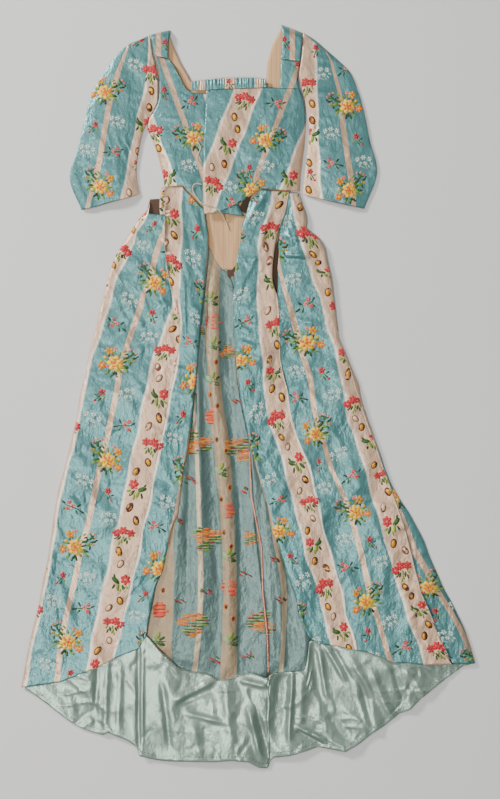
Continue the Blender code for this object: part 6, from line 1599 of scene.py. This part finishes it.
piece.parent = bpy.data.objects["skirt_left_back"]
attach(piece, "root")

# seam ridge over the facing
y_run = np.linspace(-61.6, -79.5, 40)
place = []
for b in y_run:
    a = 4.45 + 0.1 * math.sin(b)
    c, d = height_of("facing_left", a - 0.5, b), height_of("facing_right", a + 0.5, b)
    got = [q for q in (c, d) if q is not None]
    if got:
        place.append((a, b, max(got) + 0.5))
tops = np.array([q[2] for q in place])
x, y, z = ribbon([(q[0], q[1]) for q in place], np.full(len(place), 0.5), tops, 1.0, 60)
made = shell_arrays(x, y, z, x, -y, 1.2)
piece = mesh_from("facing_seam", *made, [MAT["facing_silk"]])
piece.parent = bpy.data.objects["facing_left"]
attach(piece, "root")


def patch(name, outline, height, material, parent, dish=0.0, wall=0.9, u=None, edge_drop=0.3):
    """A small piece of cloth filling an outline (across, along cm), dished in the middle."""
    o = np.array(outline, float)
    c = o.mean(axis=0)
    rings = np.linspace(1, 0, 9)[:-1]
    k = 48
    q = np.concatenate(([0], np.cumsum(np.linalg.norm(np.diff(np.vstack([o, o[:1]]), axis=0), axis=1))))
    s = np.linspace(0, q[-1], k, endpoint=False)
    loop = np.vstack([o, o[:1]])
    rim = np.stack([np.interp(s, q, loop[:, 0]), np.interp(s, q, loop[:, 1])], 1)
    pts, tops = [], []
    for r in rings:
        pts.append(c + (rim - c) * r)
        tops.append(np.full(k, height - dish * (1 - r * r) - edge_drop * max(0, (r - 0.85) / 0.15)))
    pts = np.concatenate(pts + [c[None]])
    tops = np.concatenate(tops + [np.array([height - dish])])
    tops = tops + 0.25 * lattice_noise(211, pts[:, 0], pts[:, 1], 0.8)
    n = len(pts)
    v = np.concatenate([world(pts[:, 0], pts[:, 1], tops), world(pts[:, 0], pts[:, 1], tops - wall)])
    uv = np.stack([(pts[:, 0] if u is None else np.full(n, u) + (pts[:, 0] - c[0])) / 10, -pts[:, 1] / 10], 1)
    faces = []
    m = len(rings)
    for i in range(m - 1):
        for j in range(k):
            a, b = i * k + j, i * k + (j + 1) % k
            faces.append((a, b, b + k, a + k))
            faces.append((a + n, a + k + n, b + k + n, b + n))
    for j in range(k):
        a, b = (m - 1) * k + j, (m - 1) * k + (j + 1) % k
        faces.append((a, b, n - 1))
        faces.append((a + n, 2 * n - 1, b + n))
        a, b = j, (j + 1) % k
        faces.append((a, a + n, b + n, b))
    area = np.cross(rim - c, np.roll(rim, -1, axis=0) - c).sum()
    if area < 0:
        faces = [tuple(reversed(f)) for f in faces]
    piece = mesh_from(name, v, faces, np.concatenate([uv, uv]), [MAT[material]])
    piece.parent = bpy.data.objects[parent]
    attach(piece, "root")
    return piece


# left pocket opening, right slit and the gaps at the waist and below the lining: painted shade, dark brown sheets laid
# where these openings lie in shadow; a pleat of the back shows beside the front's fold
patch("pocket_shadow_left", ((-21.6, 43.5), (-19.6, 43.6), (-18.6, 43.4), (-17.4, 41.6), (-17.6, 38.4), (-20.2, 38.2), (-22.4, 39.0), (-22.2, 41.0)), 3.4, "pocket_linen", "skirt_left_front", dish=0.6)
deep = height_of("back_left", -3.7, 26.5) or 2.0
patch("lining_gap_shadow", ((-4.7, 28.2), (-2.8, 28.6), (-2.75, 25.4), (-3.6, 24.9), (-4.6, 26.7)), deep + 0.9, "pocket_linen", "lining_of_back", dish=0.2)
patch("waist_gap_shadow", ((-1.9, 41.8), (0.0, 44.9), (0.7, 44.2), (-0.5, 40.3), (-1.5, 40.9)), 4.7, "pocket_linen", "lining_of_back", dish=0.3)
patch("pocket_shadow_right", ((7.2, 38.2), (6.9, 36.0), (5.6, 31.5), (4.9, 27.5), (5.6, 23.5), (6.8, 21.8), (7.4, 24.0), (7.6, 29.0), (7.4, 34.0)), 4.6, "pocket_linen", "skirt_right_front", dish=0.8)


# ---------------------------------------------------------------- floor and light
floor_mat = Nodes("floor")
tone = floor_mat.noise(obj_co(floor_mat), 1.5, 3.0)
floor_mat.surface(floor_mat.mix(tone, (0.66, 0.66, 0.65), (0.70, 0.70, 0.69)), 0.85, specular=0.2)
data = bpy.data.meshes.new("floor")
data.from_pydata([(-6, -6, -0.0004), (6, -6, -0.0004), (6, 6, -0.0004), (-6, 6, -0.0004)], [], [(0, 1, 2, 3)])
floor = link("floor", data)
data.materials.append(floor_mat.mat)


def area_light(name, place, aim, size, power, colour=(1, 1, 1)):
    lamp = bpy.data.lights.new(name, "AREA")
    lamp.shape = "RECTANGLE"
    lamp.size, lamp.size_y = size
    lamp.energy = power
    lamp.color = colour
    o = bpy.data.objects.new(name, lamp)
    o.location = place
    o.rotation_euler = (Vector(aim) - Vector(place)).to_track_quat("-Z", "Y").to_euler()
    bpy.context.scene.collection.objects.link(o)


area_light("key", (-4.0, 3.1, 2.1), (0.1, -0.1, 0), (0.8, 0.8), 430.0, (1.0, 0.985, 0.96))
area_light("fill", (2.6, 0.8, 2.6), (0, 0, 0), (2.0, 2.0), 14.0, (0.96, 0.98, 1.0))
area_light("sheen", (-1.4, -0.95, 4.2), (0, 0, 0), (1.0, 1.0), 128.0, (1.0, 0.99, 0.97))
area_light("neck", (-0.1, 1.3, 4.2), (0, 0.5, 0), (0.5, 0.5), 18.0, (1.0, 0.99, 0.97))
area_light("low", (0.2, -2.8, 2.2), (0, -0.2, 0), (2.0, 1.2), 8.0)
world_data = bpy.data.worlds.new("studio")
world_data.use_nodes = True
world_data.node_tree.nodes["Background"].inputs[0].default_value = (0.95, 0.97, 1.0, 1.0)
world_data.node_tree.nodes["Background"].inputs[1].default_value = 0.2
bpy.context.scene.world = world_data
